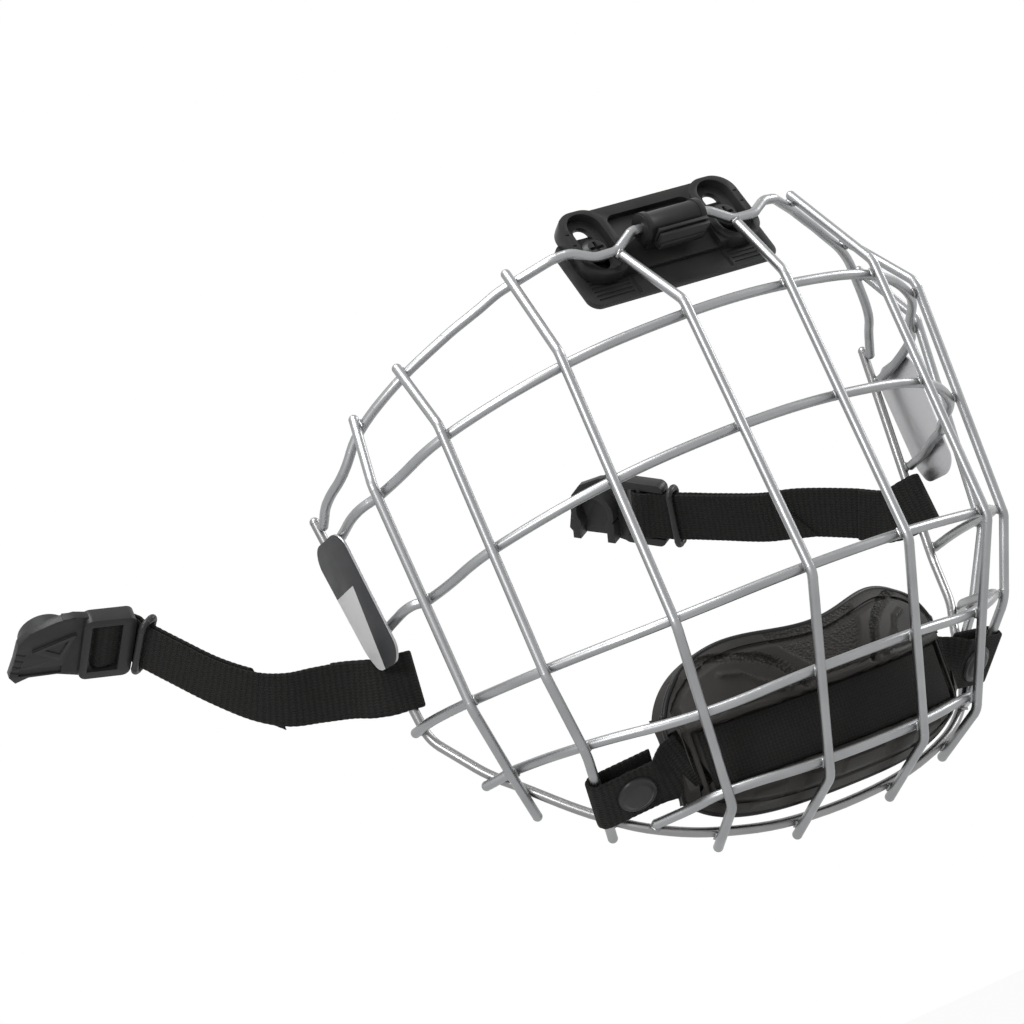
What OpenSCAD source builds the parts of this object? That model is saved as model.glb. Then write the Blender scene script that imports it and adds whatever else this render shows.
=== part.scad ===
// Ice hockey facemask: welded wire cage, forehead hinge plate, side straps with buckles and a chin cup.
// X runs to the wearer's left, Y to the back, Z up. The origin is on the back face of the
// forehead pad, midway between the two helmet screws.

/* [Cage wire] */
// Diameter of every wire of the cage
wire_d = 2.8; // [2.4:0.1:3.0]
// Gap left for the weld between two wires that cross
weld_gap = 0.1; // [0.05:0.05:0.3]
// Radius on the centreline of the tight bends
bend_r = 5; // [4:0.5:7]

/* [Hinge plate] */
// Lean of the forehead plate from upright, in degrees
plate_lean = 18; // [10:1:26]
// Distance between the two helmet screws
screw_pitch = 44.4; // [42:0.2:48]
// Diameter of the screw shank
screw_d = 4.2; // [3.8:0.1:4.8]
// Length of screw that stands out behind the pad
screw_reach = 9; // [6:0.5:14]
// How much thinner the neck is between the screw's head and its thread
screw_neck = 0.4; // [0.3:0.1:0.8]
// Diameter of the screw head
screw_head_d = 8; // [7:0.2:9]
// Free width of the slot round the screw shank
slot_clearance = 0.6; // [0.4:0.1:1]
// How far the plate can be set up the screws
slide_up = 3.6; // [2:0.2:5]
// How far the plate can be set down the screws
slide_down = 7.2; // [4:0.2:8]
// Thickness of the ribbed pad behind the plate
pad_t = 1.8; // [1.4:0.1:2.4]
// Thickness of the hinge plate over its bosses
plate_t = 4.6; // [4:0.2:6]
// Thickness of the plate's floor under the screw heads
floor_t = 1.6; // [1.2:0.1:2]

/* [Hinge barrel] */
// Outer diameter of the barrel that holds the brow wire
barrel_d = 8; // [7:0.2:9]
// Length of the barrel
barrel_len = 20; // [16:1:22]
// Radial running gap between the wire and the barrel
barrel_gap = 0.05; // [0.03:0.01:0.09]

/* [Webbing] */
// Width of all webbing
web_w = 16; // [14:0.5:18]
// Thickness of one layer of webbing
web_t = 1.3; // [1:0.1:1.6]
// Clear gap between webbing and what it goes round
web_gap = 0.3; // [0.2:0.05:0.5]

/* [Buckle] */
// Length of the buckle plate
buckle_len = 33; // [30:1:38]
// Width of the buckle plate beyond the webbing, both sides together
buckle_rim = 6; // [4:0.5:8]
// Thickness of the buckle plate
buckle_t = 2.4; // [2:0.2:3.2]
// Diameter of the bar that the webbing goes round
bar_d = 2.6; // [2.2:0.1:3]
// Thickness of the rubber keeper ring
keeper_d = 2; // [1.6:0.1:2.6]

/* [Chin cup] */
// Half the width of the cup
cup_half_w = 47.5; // [44:0.5:54]
// Radius of the cup seen from above
cup_r = 70; // [60:1:85]
// Thickness of the padded shell at its middle
cup_t = 8; // [6:0.5:10]
// Depth of the channel that the webbing lies in
channel_depth = 2; // [1.6:0.1:2.6]
// Diameter of the snap caps
snap_d = 11.5; // [10:0.5:13]

/* [Label plates] */
// Thickness of the side plates
label_t = 0.8; // [0.6:0.1:1.2]

/* [Hidden] */
round_fn = 64;
wire_fn = 24;
wire_r = wire_d / 2;
// Each length of wire stops short of its joint, and a knuckle a hair larger joins them
joint_inset = 0.2;
knuckle = 0.03;

function unit(v) = v / norm(v);
function mirror_x(p) = [-p[0], p[1], p[2]];
function lerp(a, b, t) = a + (b - a) * t;
function at_z(a, b, z) = lerp(a, b, (z - a[2]) / (b[2] - a[2]));
function smooth(t) = let (s = min(1, max(0, t))) s * s * (3 - 2 * s);

// Puts local x, y and z along three given directions, from a given point
module place(p, x, y, z) {
  multmatrix([
    [x[0], y[0], z[0], p[0]],
    [x[1], y[1], z[1], p[1]],
    [x[2], y[2], z[2], p[2]],
    [0, 0, 0, 1]
  ]) children();
}

module both_sides() {
  children();
  mirror([1, 0, 0]) children();
}

// A straight length of wire from a to b
module rod(a, b, wr = wire_r) {
  z = unit(b - a);
  h = abs(z[2]) < 0.9 ? [0, 0, 1] : [1, 0, 0];
  x = unit(cross(h, z));
  place(a + z * joint_inset, x, cross(z, x), z)
    cylinder(r = wr, h = norm(b - a) - 2 * joint_inset, $fn = wire_fn);
}

// A bent length of wire that leaves a along t and ends at b, or a straight one where it hardly bends
module bent(a, t, b, wr = wire_r) {
  c = b - a;
  side = c - (c * t) * t;
  if (norm(side) < 0.02 * norm(c)) {
    rod(a, b, wr);
  } else {
    n = unit(side);
    r = (c * c) / (2 * (n * c));
    turn = 2 * asin(norm(c) / 2 / r);
    inset = joint_inset / r * 180 / PI;
    place(a + n * r, -n, t, cross(-n, t))
      rotate([0, 0, inset])
        rotate_extrude(angle = turn - 2 * inset, $fn = 96)
          translate([r, 0]) circle(r = wr, $fn = wire_fn);
  }
}

// A knuckle in a wire that runs along t, turned so that its poles stay clear of the wire
module joint_at(p, t, wr = wire_r) {
  h = abs(t[2]) < 0.9 ? [0, 0, 1] : [1, 0, 0];
  x = unit(cross(h, t));
  place(p, x, t, cross(x, t)) sphere(r = wr + knuckle, $fn = wire_fn);
}

// The point where two arcs meet that leave p along t and reach q along u
function meet(p, t, q, u) =
  let (v = q - p, vs = v * (t + u), k = 2 * (1 - t * u),
       d = k < 0.000001 ? (v * v) / (2 * vs) : (sqrt(vs * vs + k * (v * v)) - vs) / k)
  (p + q + d * (t - u)) / 2;

// A wire on a smooth curve through its points, two arcs to each span
// An end whose direction is given goes on into another wire and has no knuckle here
module curved_wire(p, first = undef, last = undef) {
  n = len(p);
  open_start = first != undef;
  open_end = last != undef;
  t = [for (i = [0:n - 1])
    i == 0 && open_start ? first : i == n - 1 && open_end ? last : unit(p[min(n - 1, i + 1)] - p[max(0, i - 1)])];
  for (i = [0:n - 2]) {
    m = meet(p[i], t[i], p[i + 1], t[i + 1]);
    c = m - p[i];
    bent(p[i], t[i], m);
    joint_at(m, 2 * (c * t[i]) / (c * c) * c - t[i]);
    bent(p[i + 1], -t[i + 1], m);
  }
  for (i = [(open_start ? 1 : 0):n - (open_end ? 2 : 1)]) joint_at(p[i], t[i]);
}

// A wire with straight runs and a tight bend of its own radius at each corner
module bent_wire(p, r) {
  n = len(p);
  into = [for (i = [1:n - 2]) unit(p[i] - p[i - 1])];
  out = [for (i = [1:n - 2]) unit(p[i + 1] - p[i])];
  cut = [for (i = [0:n - 3])
    min(r[i] * tan(acos(into[i] * out[i]) / 2), 0.48 * norm(p[i + 1] - p[i]), 0.48 * norm(p[i + 2] - p[i + 1]))];
  for (i = [0:n - 2]) {
    a = i == 0 ? p[0] : p[i] + out[i - 1] * cut[i - 1];
    b = i == n - 2 ? p[n - 1] : p[i + 1] - into[i] * cut[i];
    rod(a, b);
    joint_at(a, unit(b - a));
    joint_at(b, unit(b - a));
  }
  for (i = [1:n - 2])
    bent(p[i] - into[i - 1] * cut[i - 1], into[i - 1], p[i] + out[i - 1] * cut[i - 1]);
}

// Distance between the centre lines of two wires that seat on each other
pitch = wire_d + weld_gap;
// A rounded wire end that butts on another wire at a point, coming from elsewhere
function butt(at, from) = at + (pitch + knuckle) * unit(from - at);

// Forehead plate: local x across, y to the back, z up the plate
module on_plate() {
  rotate([-plate_lean, 0, 0]) children();
}
function off_plate(p) = [p[0], p[1] * cos(plate_lean) + p[2] * sin(plate_lean), p[2] * cos(plate_lean) - p[1] * sin(plate_lean)];

plate_front = -pad_t - plate_t;
screw_x = screw_pitch / 2;
slot_w = screw_d + slot_clearance;
barrel_y = plate_front - barrel_d / 2 + 0.2;
barrel_z = -1;
window_w = 28.4;
window_top = 9.4;
boss_w = 15.4;
boss_top = 13.2;
plate_low = -10;
pad_w = 64;
pad_low = -16;
pad_top = 7;
pocket_w = 10.4;

// Brow wire, left half: hinge run, dog-leg round the plate, brow curve and ear
hinge_run = [
  off_plate([barrel_len / 2 + 3, barrel_y, barrel_z]),
  off_plate([20, plate_front - wire_r - 0.9, -5]),
  off_plate([27, plate_front - wire_r - 0.7, -5]),
  off_plate([33, plate_front - wire_r - 0.6, -1.4]),
  off_plate([38, plate_front - wire_r + 1, -0.6])
];
brow = [
  [49.2, 3.2, 0.3], [57, 9.5, -2], [65, 16, -4.5], [78.5, 27.3, -10.2], [88, 39.6, -16.8],
  [93.2, 48, -24.5], [96.8, 57, -29], [98, 62, -33.5]
];
// Jaw wire, left half: under the chin, up to the ear
jaw = [[16.5, 32.3, -158.8], [40.5, 34, -153.6], [56, 39.5, -145.6], [66.5, 46.5, -135.5],
       [76, 54, -123.5], [85, 61.5, -111]];
jaw_corner = [91, 68.5, -98.5];
ear_top = [98.4, 65.2, -31];

// The end of an upright that passes in front of the brow wire, a share of the way from one of its points
function over_brow(k, share, knee) =
  let (b = lerp(brow[k], brow[k + 1], share), u = unit(b - knee))
  b + 1.08 * pitch * unit(cross(brow[k + 1] - brow[k], u)) + 1.2 * u;
// Uprights of the left half, from the middle out: top, knee, chin bend, lower bend and end
upright = [
  [butt(hinge_run[1], [17, -24.5, -24.5]), [17, -24.5, -24.5], [16.5, -24.5, -105], [16.5, 8, -153.5], [16.5, 34.5, -162.5]],
  [[49, 0, 3], [53.5, -15, -26], [53.5, -12, -104.5], [43, 16.5, -150.5], [40, 36.5, -157.5]],
  [[78, 24, -7], [82.5, 8, -29.5], [80, 14.5, -101.5], [73.5, 23, -123.5], [63.5, 46, -144]],
  [over_brow(3, 0.9, [95.5, 31, -34]), [95.5, 31, -34], [90.5, 39.5, -99], [82, 49.5, -119.5], [76, 57, -130]]
];
// Heights at which the five cross wires meet the four uprights of a side
cross_z = [
  [-27.5, -29.2, -32.6, -37],
  [-61.2, -62.6, -65, -67.8],
  [-102.6, -102.2, -99.5, -97],
  [-128.5, -127.6, -122, -118.3],
  [-150.3, -147.8]
];
// Where the fourth cross wire passes outside the jaw wire, and its direction there
side_run = unit([4.4, 8, 0]);
over_jaw = lerp(jaw[4], jaw[5], 0.6) + (pitch + 0.45) * unit(cross(side_run, jaw[5] - jaw[4]));
// Where each cross wire ends on the left, after its last upright; the lowest butts on the jaw wire
cross_end = [
  [[98, 41, -37.8], [99.1, 52, -40], [98.4, 62.7, -41.6]],
  [[94.5, 41.2, -66.9], [95.9, 49.6, -67.5], [97.2, 58, -68.9], butt(at_z(jaw_corner, ear_top, -70), [97.9, 63, -69.6])],
  [[91, 50, -95.8], [93.3, 60, -95.3], [93.9, 68.6, -95.4]],
  [over_jaw, over_jaw + 2.5 * side_run],
  [[50.2, 29, -146], [57.5, 39.8, -145.4] - 1.55 * pitch * unit([8, 11.8, 0.7])]
];

// The stretch of an upright that a height falls on
function upright_at(u, z) = z > u[2][2] ? at_z(u[1], u[2], z) : z > u[3][2] ? at_z(u[2], u[3], z) : at_z(u[3], u[4], z);
function upright_dir(u, z) = z > u[2][2] ? unit(u[2] - u[1]) : z > u[3][2] ? unit(u[3] - u[2]) : unit(u[4] - u[3]);

// Points of a cross wire on the left side, each set in from its upright by one wire
function cross_half(k) =
  let (n = len(cross_z[k]),
       on = [for (i = [0:n - 1]) upright_at(upright[i], cross_z[k][i])],
       before = [for (i = [0:n - 1]) i == 0 ? mirror_x(on[0]) : on[i - 1]],
       after = [for (i = [0:n - 1]) i == n - 1 ? cross_end[k][0] : on[i + 1]])
  [for (i = [0:n - 1])
    on[i] + pitch * unit(cross(after[i] - before[i], upright_dir(upright[i], cross_z[k][i])))];
function whole(half) = concat([for (i = [len(half) - 1:-1:0]) mirror_x(half[i])], half);

module cross_wire(k) {
  color([0.72, 0.73, 0.75]) curved_wire(whole(concat(cross_half(k), cross_end[k])));
}

module upright_wire(i) {
  r = i == 2 ? [bend_r, bend_r, 12] : i == 3 ? [bend_r, 8, 8] : [bend_r, bend_r, bend_r];
  color([0.74, 0.75, 0.77]) bent_wire(upright[i], r);
}

module brow_wire() {
  half = concat(hinge_run, [brow[0]]);
  bends = [4, 5, 5, 6, 6];
  color([0.76, 0.77, 0.79]) {
    bent_wire(whole(half), concat([for (i = [4:-1:0]) bends[i]], bends));
    both_sides() curved_wire(brow, first = unit(brow[0] - hinge_run[4]));
  }
}

module jaw_wire() {
  e = unit(jaw_corner - jaw[5]);
  color([0.7, 0.71, 0.73]) {
    curved_wire(whole(jaw), first = -mirror_x(e), last = e);
    both_sides() bent_wire([jaw[5], jaw_corner, ear_top], [12]);
  }
}

module racetrack(w, low, high) {
  translate([0, low + w / 2]) circle(d = w, $fn = round_fn);
  translate([0, high - w / 2]) circle(d = w, $fn = round_fn);
  translate([-w / 2, low + w / 2]) square([w, high - low - w]);
}

module rounded_rect(w, low, high, r) {
  translate([-w / 2, low + r]) square([w, high - low - 2 * r]);
  translate([-w / 2 + r, low]) square([w - 2 * r, high - low]);
  for (x = [-1, 1], z = [low + r, high - r]) translate([x * (w / 2 - r), z]) circle(r = r, $fn = round_fn);
}

// Extrudes a shape drawn in the plate's plane from one depth to another
module slab(y0, y1) {
  translate([0, y1, 0]) rotate([90, 0, 0]) linear_extrude(y1 - y0) children();
}

module hinge_plate() {
  slot_low = -slide_up - slot_w / 2;
  slot_high = slide_down + slot_w / 2;
  color([0.13, 0.13, 0.14]) on_plate() difference() {
    union() {
      slab(plate_front + 0.8, -pad_t - 0.05) rounded_rect(screw_pitch + boss_w - 3, plate_low + 1, boss_top - 0.4, 3);
      for (s = [-1, 1]) translate([s * screw_x, 0, 0])
        slab(plate_front, -pad_t - 0.05) rounded_rect(boss_w, plate_low, boss_top, 6.4);
    }
    for (s = [-1, 1]) translate([s * screw_x, 0, 0]) {
      slab(plate_front - 1, -pad_t - floor_t)
        racetrack(pocket_w, slot_low - 2.4, slot_high + 2.4);
      slab(plate_front - 1, 1) racetrack(slot_w, slot_low, slot_high);
    }
    slab(plate_front - 1, -pad_t - floor_t) rounded_rect(window_w, plate_low - 4, window_top, 3);
    // Guide marks beside the pockets
    for (s = [-1, 1], k = [0:2])
      translate([s * (screw_x + 6.4), plate_front, 6 - 4 * k]) cube([1.2, 0.6, 0.5], center = true);
  }
}

module forehead_pad() {
  color([0.1, 0.1, 0.11]) on_plate() difference() {
    slab(-pad_t, 0) rounded_rect(pad_w, pad_low, pad_top, 3.6);
    for (s = [-1, 1]) translate([s * screw_x, 0, 0]) rotate([90, 0, 0])
      cylinder(d = screw_d + 0.3, h = 3 * pad_t, center = true, $fn = round_fn);
    // Ribs under the plate that stop it slipping
    for (s = [-1, 1], k = [0:6])
      translate([s * (screw_x + 0.8), -pad_t, -14.2 + 1.4 * k]) cube([12, 0.8, 0.6], center = true);
    for (s = [-1, 1])
      translate([s * 15.6, -pad_t, -12]) cube([1, 0.8, 6.4], center = true);
  }
}

module face_screws() {
  color([0.2, 0.19, 0.19]) on_plate() for (s = [-1, 1])
    translate([s * screw_x, -pad_t - floor_t - 0.05, 0]) rotate([90, 0, 0]) difference() {
      union() {
        cylinder(d = screw_head_d, h = 1.3, $fn = round_fn);
        translate([0, 0, 1.3]) cylinder(d1 = screw_head_d, d2 = screw_head_d - 2.6, h = 1, $fn = round_fn);
        // The thread starts just behind the pad, and the neck goes on through plate and pad
        translate([0, 0, -pad_t - floor_t - screw_reach]) cylinder(d = screw_d, h = screw_reach - 0.25, $fn = round_fn);
        translate([0, 0, -pad_t - floor_t - 0.45]) cylinder(d = screw_d - screw_neck, h = pad_t + floor_t + 0.95, $fn = round_fn);
      }
      for (a = [0, 90]) rotate([0, 0, a]) translate([0, 0, 2.1]) cube([4.4, 1, 2], center = true);
    }
}

module hinge_barrel() {
  floor_y = -pad_t - floor_t - 0.05;
  r = barrel_d / 2;
  color([0.11, 0.11, 0.12]) on_plate() difference() {
    union() {
      translate([0, barrel_y, barrel_z]) rotate([0, 90, 0]) {
        cylinder(d = barrel_d, h = barrel_len, center = true, $fn = round_fn);
        for (s = [-1, 1]) translate([0, 0, s * (barrel_len / 2 - 1.2)])
          cylinder(d = barrel_d + 0.8, h = 1.6, center = true, $fn = round_fn);
      }
      // Foot that snaps onto the plate
      translate([0, (barrel_y + floor_y) / 2, barrel_z]) cube([barrel_len - 5, floor_y - barrel_y, r + 1], center = true);
      // Release lip with its two ridges
      for (k = [0, 1]) translate([0, barrel_y - 2.2 + k * 0.6, barrel_z - r - 1 - 1.3 * k])
        cube([barrel_len - 3.6, 4.2, 0.9], center = true);
      translate([0, barrel_y + 0.8, barrel_z - r - 0.8]) cube([barrel_len - 5, 2.4, 4.4], center = true);
    }
    translate([0, barrel_y, barrel_z]) rotate([0, 90, 0])
      cylinder(r = wire_r + knuckle + barrel_gap, h = barrel_len + 4, center = true, $fn = round_fn);
  }
}

// Label plate of the left side, stamped from sheet
plate_pts = [[48.3, -41.8], [51.8, -38.6], [64.6, -38.3], [67.8, -42.4], [66.4, -71], [63.8, -77], [52.8, -78], [48.6, -74.6]];
module label_plate() {
  high = cross_end[0][1];
  low = cross_end[1][2];
  tilt = atan((high[0] - low[0]) / (high[2] - low[2]));
  color([0.6, 0.6, 0.62]) translate([high[0] + wire_r + knuckle + weld_gap, 0, high[2]]) rotate([0, tilt, 0])
    translate([0, 0, -high[2]]) rotate([90, 0, 90]) linear_extrude(label_t) polygon(plate_pts);
}

// Webbing swept along points, its flat side set by a width direction at each point
function tangent(p, i) = unit(p[min(len(p) - 1, i + 1)] - p[max(0, i - 1)]);
function square_to(a, t) = unit(a - (a * t) * t);
module ribbon(p, a, w, thick = web_t) {
  n = len(p);
  pts = [for (i = [0:n - 1])
    let (t = tangent(p, i), e = square_to(a[i], t), f = cross(t, e))
    each [p[i] + e * w / 2 + f * thick / 2, p[i] - e * w / 2 + f * thick / 2,
          p[i] - e * w / 2 - f * thick / 2, p[i] + e * w / 2 - f * thick / 2]];
  walls = [for (i = [0:n - 2], k = [0:3])
    let (b = 4 * i + k, c = 4 * i + (k + 1) % 4) each [[b, b + 4, c], [c, b + 4, c + 4]]];
  z = 4 * n - 4;
  ends = [[0, 1, 2], [0, 2, 3], [z, z + 2, z + 1], [z, z + 3, z + 2]];
  polyhedron(points = pts, faces = concat(walls, ends));
}

// Side straps, written for the left side, from the ear wire to the buckle bar
ear_dir = unit(ear_top - jaw_corner);
strap_z = -81;
strap_root = at_z(jaw_corner, ear_top, strap_z);
loop_r = wire_r + web_gap + web_t / 2;
fold_r = bar_d / 2 + web_gap + web_t / 2;
layer = web_t / 2 + 0.1;
way_right = [strap_root, [97.2, 70.5, -80.1], [104.3, 74.8, -76.9], [112, 77.8, -74.7], [120, 80, -72.7],
  [126.6, 84.2, -68], [133.8, 89.2, -59.6], [140.8, 93.7, -49.6], [145.7, 97.3, -42],
  [147.6, 98.7, -38.6], [151.2, 99, -37.7], [156.1, 99.4, -36.6]];
way_left = [strap_root, [87.8, 74.5, -80.8], [81.4, 83.4, -74.6], [72.9, 95.3, -67.2], [66.1, 104.6, -62.9],
  [58.7, 114.9, -56.5], [54, 121.6, -52.2], [49.4, 128.3, -48], [44.8, 134.5, -43]];
tilt_right = [0, 17, 20, 27, 36, 48, 59, 61, 61, 61, 61, 61];
tilt_left = [0, 17, 27, 36, 43, 51, 52, 52, 52];

// A smooth run of points through given ones, three steps to each span
steps = 3;
function refine(v) =
  let (n = len(v))
  concat([for (i = [0:n - 2], j = [0:steps - 1])
    let (p0 = v[max(0, i - 1)], p1 = v[i], p2 = v[i + 1], p3 = v[min(n - 1, i + 2)], u = j / steps)
    0.5 * (2 * p1 + (p2 - p0) * u + (2 * p0 - 5 * p1 + 4 * p2 - p3) * u * u + (3 * p1 - p0 - 3 * p2 + p3) * u * u * u)],
    [v[n - 1]]);
function lengths(p) = [for (i = 0, s = 0; i < len(p); s = s + (i < len(p) - 1 ? norm(p[i + 1] - p[i]) : 0), i = i + 1) s];
function width_dirs(way, tilt) =
  let (p = refine(way), d = refine(tilt), s = lengths(p))
  [for (i = [0:len(p) - 1])
    square_to(lerp(ear_dir, [0, -sin(d[i]), cos(d[i])], smooth((s[i] - loop_flat) / 6)), tangent(p, i))];
function spread(s, total) =
  max(lerp(loop_r, layer, smooth((s - loop_flat) / 8)), lerp(layer, fold_r, smooth((s - total + 6) / 6)));
// Stretch beside the ear wire in which the webbing runs flat along it
loop_flat = 5;
loop_back = 2.4;
root_tail = 19;
free_tail = 46;

// The whole strap as one run of points: sewn end, ear loop, main run, bar fold and free end
module side_strap(way, tilt) {
  p = refine(way);
  a = width_dirs(way, tilt);
  s = lengths(p);
  n = len(p);
  total = s[n - 1];
  t = [for (i = [0:n - 1]) tangent(p, i)];
  b = [for (i = [0:n - 1]) cross(t[i], a[i])];
  sewn = [for (i = [n - 1:-1:1]) if (s[i] < root_tail) i];
  free = [for (i = [n - 1:-1:0]) if (i < n - 1 && s[i] > total - free_tail) i];
  z = n - 1;
  turns = [for (g = [-90:22.5:90]) g];
  pts = concat(
    [for (i = sewn) p[i] - b[i] * spread(s[i], total)],
    [p[0] - b[0] * loop_r],
    [for (g = turns) p[0] - t[0] * loop_back + loop_r * (b[0] * sin(g) - t[0] * cos(g))],
    [p[0] + b[0] * loop_r],
    [for (i = [1:n - 2]) p[i] + b[i] * spread(s[i], total)],
    [for (g = turns) p[z] + fold_r * (t[z] * cos(g) - b[z] * sin(g))],
    [for (i = free) p[i] - b[i] * spread(s[i], total)]);
  wide = concat([for (i = sewn) a[i]], [a[0]], [for (g = turns) a[0]], [a[0]], [for (i = [1:n - 2]) a[i]],
    [for (g = turns) a[z]], [for (i = free) a[i]]);
  color([0.06, 0.06, 0.06]) ribbon(pts, wide, web_w);
}

// Frame at a distance along the run: its point, direction, width and outer side
function place_on(way, tilt, back) =
  let (p = refine(way), a = width_dirs(way, tilt), s = lengths(p), n = len(p),
       i = [for (k = [0:n - 1]) if (s[n - 1] - s[k] <= back + 0.01) k][0])
  [p[i], tangent(p, i), a[i], cross(tangent(p, i), a[i])];

// Round rubber ring that holds both layers of the webbing together
module keeper(way, tilt) {
  f = place_on(way, tilt, 13);
  r = keeper_d / 2;
  x = web_w / 2 + web_gap + 0.2 + r;
  z = layer + web_t / 2 + web_gap + 0.15 + r;
  c = r + 0.9;
  corners = [[x, z], [-x, z], [-x, -z], [x, -z]];
  ends = [for (k = [0:3]) let (q = corners[k], v = corners[(k + 1) % 4], e = unit(v - q)) [q + e * c, v - e * c, e]];
  function out(v) = f[0] + f[2] * v[0] + f[3] * v[1];
  function turned(v) = f[2] * v[0] + f[3] * v[1];
  color([0.09, 0.09, 0.09]) for (k = [0:3]) {
    e = ends[k];
    rod(out(e[0]), out(e[1]), r);
    joint_at(out(e[0]), turned(e[2]), r + knuckle);
    joint_at(out(e[1]), turned(e[2]), r + knuckle);
    bent(out(e[1]), turned(e[2]), out(ends[(k + 1) % 4][0]), r);
  }
}

// Buckle in its own frame: x towards the nose, y up the width, z outwards, bar at the origin
win_low = -4.6;
win_high = 4.2;
frame_end = -8.4;
half_w = (web_w + buckle_rim) / 2;
win_w = web_w + 1;
nose_x = buckle_len + frame_end;
// Height of the cross bar that the webbing passes under
under_bar = layer + web_t / 2 + 0.9;
module buckle_shape() {
  post_x = 15;
  difference() {
    union() {
      translate([0, 0, -1.2]) linear_extrude(buckle_t + 2.4) rotate(-90)
        rounded_rect(2 * half_w, frame_end, 6.4, 2.4);
      translate([0, 0, -0.6]) linear_extrude(buckle_t) polygon([[5, half_w], [9, half_w + 0.6], [14, half_w - 0.6],
        [21, half_w - 4], [24, half_w - 8], [nose_x, -3], [nose_x + 1, -half_w + 2], [nose_x - 1, -half_w - 0.4],
        [20, -half_w + 1.4], [12, -half_w + 1.6], [5, -half_w]]);
      // Raised rib and tab for the thumb
      translate([13, 1, buckle_t - 0.6]) linear_extrude(0.8) polygon([[-5, 4.6], [7, -0.6], [-1, -4.4]]);
      translate([10.5, half_w - 0.6, 0.6]) cube([3.4, 1.6, 2.6], center = true);
      // Round wall of the post socket, open to the lower edge
      translate([post_x, 0, -5]) cylinder(r = 7.4, h = 4.6, $fn = round_fn);
      for (s = [-1, 1]) translate([post_x + s * 6, -6.4, -2.7]) cube([2.6, 7, 4.6], center = true);
    }
    translate([win_low, -win_w / 2, -6]) cube([win_high - win_low, win_w, 12]);
    translate([frame_end - 1, -win_w / 2, -6]) cube([win_low - frame_end + 1.1, win_w, 6 + under_bar]);
    // Inner face of the raised rib
    translate([13, 1.2, buckle_t - 0.2]) linear_extrude(2) polygon([[-3, 2.4], [3.6, -0.4], [-0.8, -2.4]]);
    // Stepped groove along the lower edge
    translate([17, -7.6, buckle_t - 0.6]) cube([12, 2.6, 1.2], center = true);
    // Socket
    translate([post_x, 0, -6]) cylinder(r = 5.5, h = 5.4, $fn = round_fn);
    translate([post_x, -7, -3.3]) cube([8.6, 14, 5.4], center = true);
    // Grip ridges on the end of the nose
    for (k = [0:3]) translate([nose_x + 0.4 - 0.5 * k, -7 + 2.2 * k, buckle_t]) rotate([0, 0, 20])
      cube([4, 0.7, 1.6], center = true);
  }
  rotate([90, 0, 0]) cylinder(d = bar_d, h = win_w + 2, center = true, $fn = round_fn);
}

module buckle(way, tilt) {
  f = place_on(way, tilt, 0);
  color([0.12, 0.12, 0.12]) place(f[0], f[1], f[2], f[3]) buckle_shape();
}

// Chin cup frame: its front face is part of a cylinder, and the top leans forward
cup_at = [0, 7, -138.7];
cup_lean = 10;
cup_top = 12.5;
cup_low = -8;
// The channel stops this far short of the cup's sides
channel_short = 4.4;
channel_angle = asin((cup_half_w - channel_short) / cup_r);
liner_gap = 0.3;
module on_cup() {
  translate(cup_at) rotate([cup_lean, 0, 0]) children();
}
function bow(x) = cup_r - sqrt(cup_r * cup_r - x * x);
function lean_back(z) = z > 8 ? 7 * pow((z - 8) / 20, 1.5) : z < -8 ? 15.4 * pow((-8 - z) / 14, 1.6) : 0;
function top_edge(t) = 12 + (cup_top + 1 + 3.5 * pow(sin(90 * min(1, t / 0.62)), 2)) * pow(1 - pow(t, 5), 0.7);
function low_edge(t) = cup_low - 11.5 * pow(1 - pow(t, 3.4), 0.65);

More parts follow.
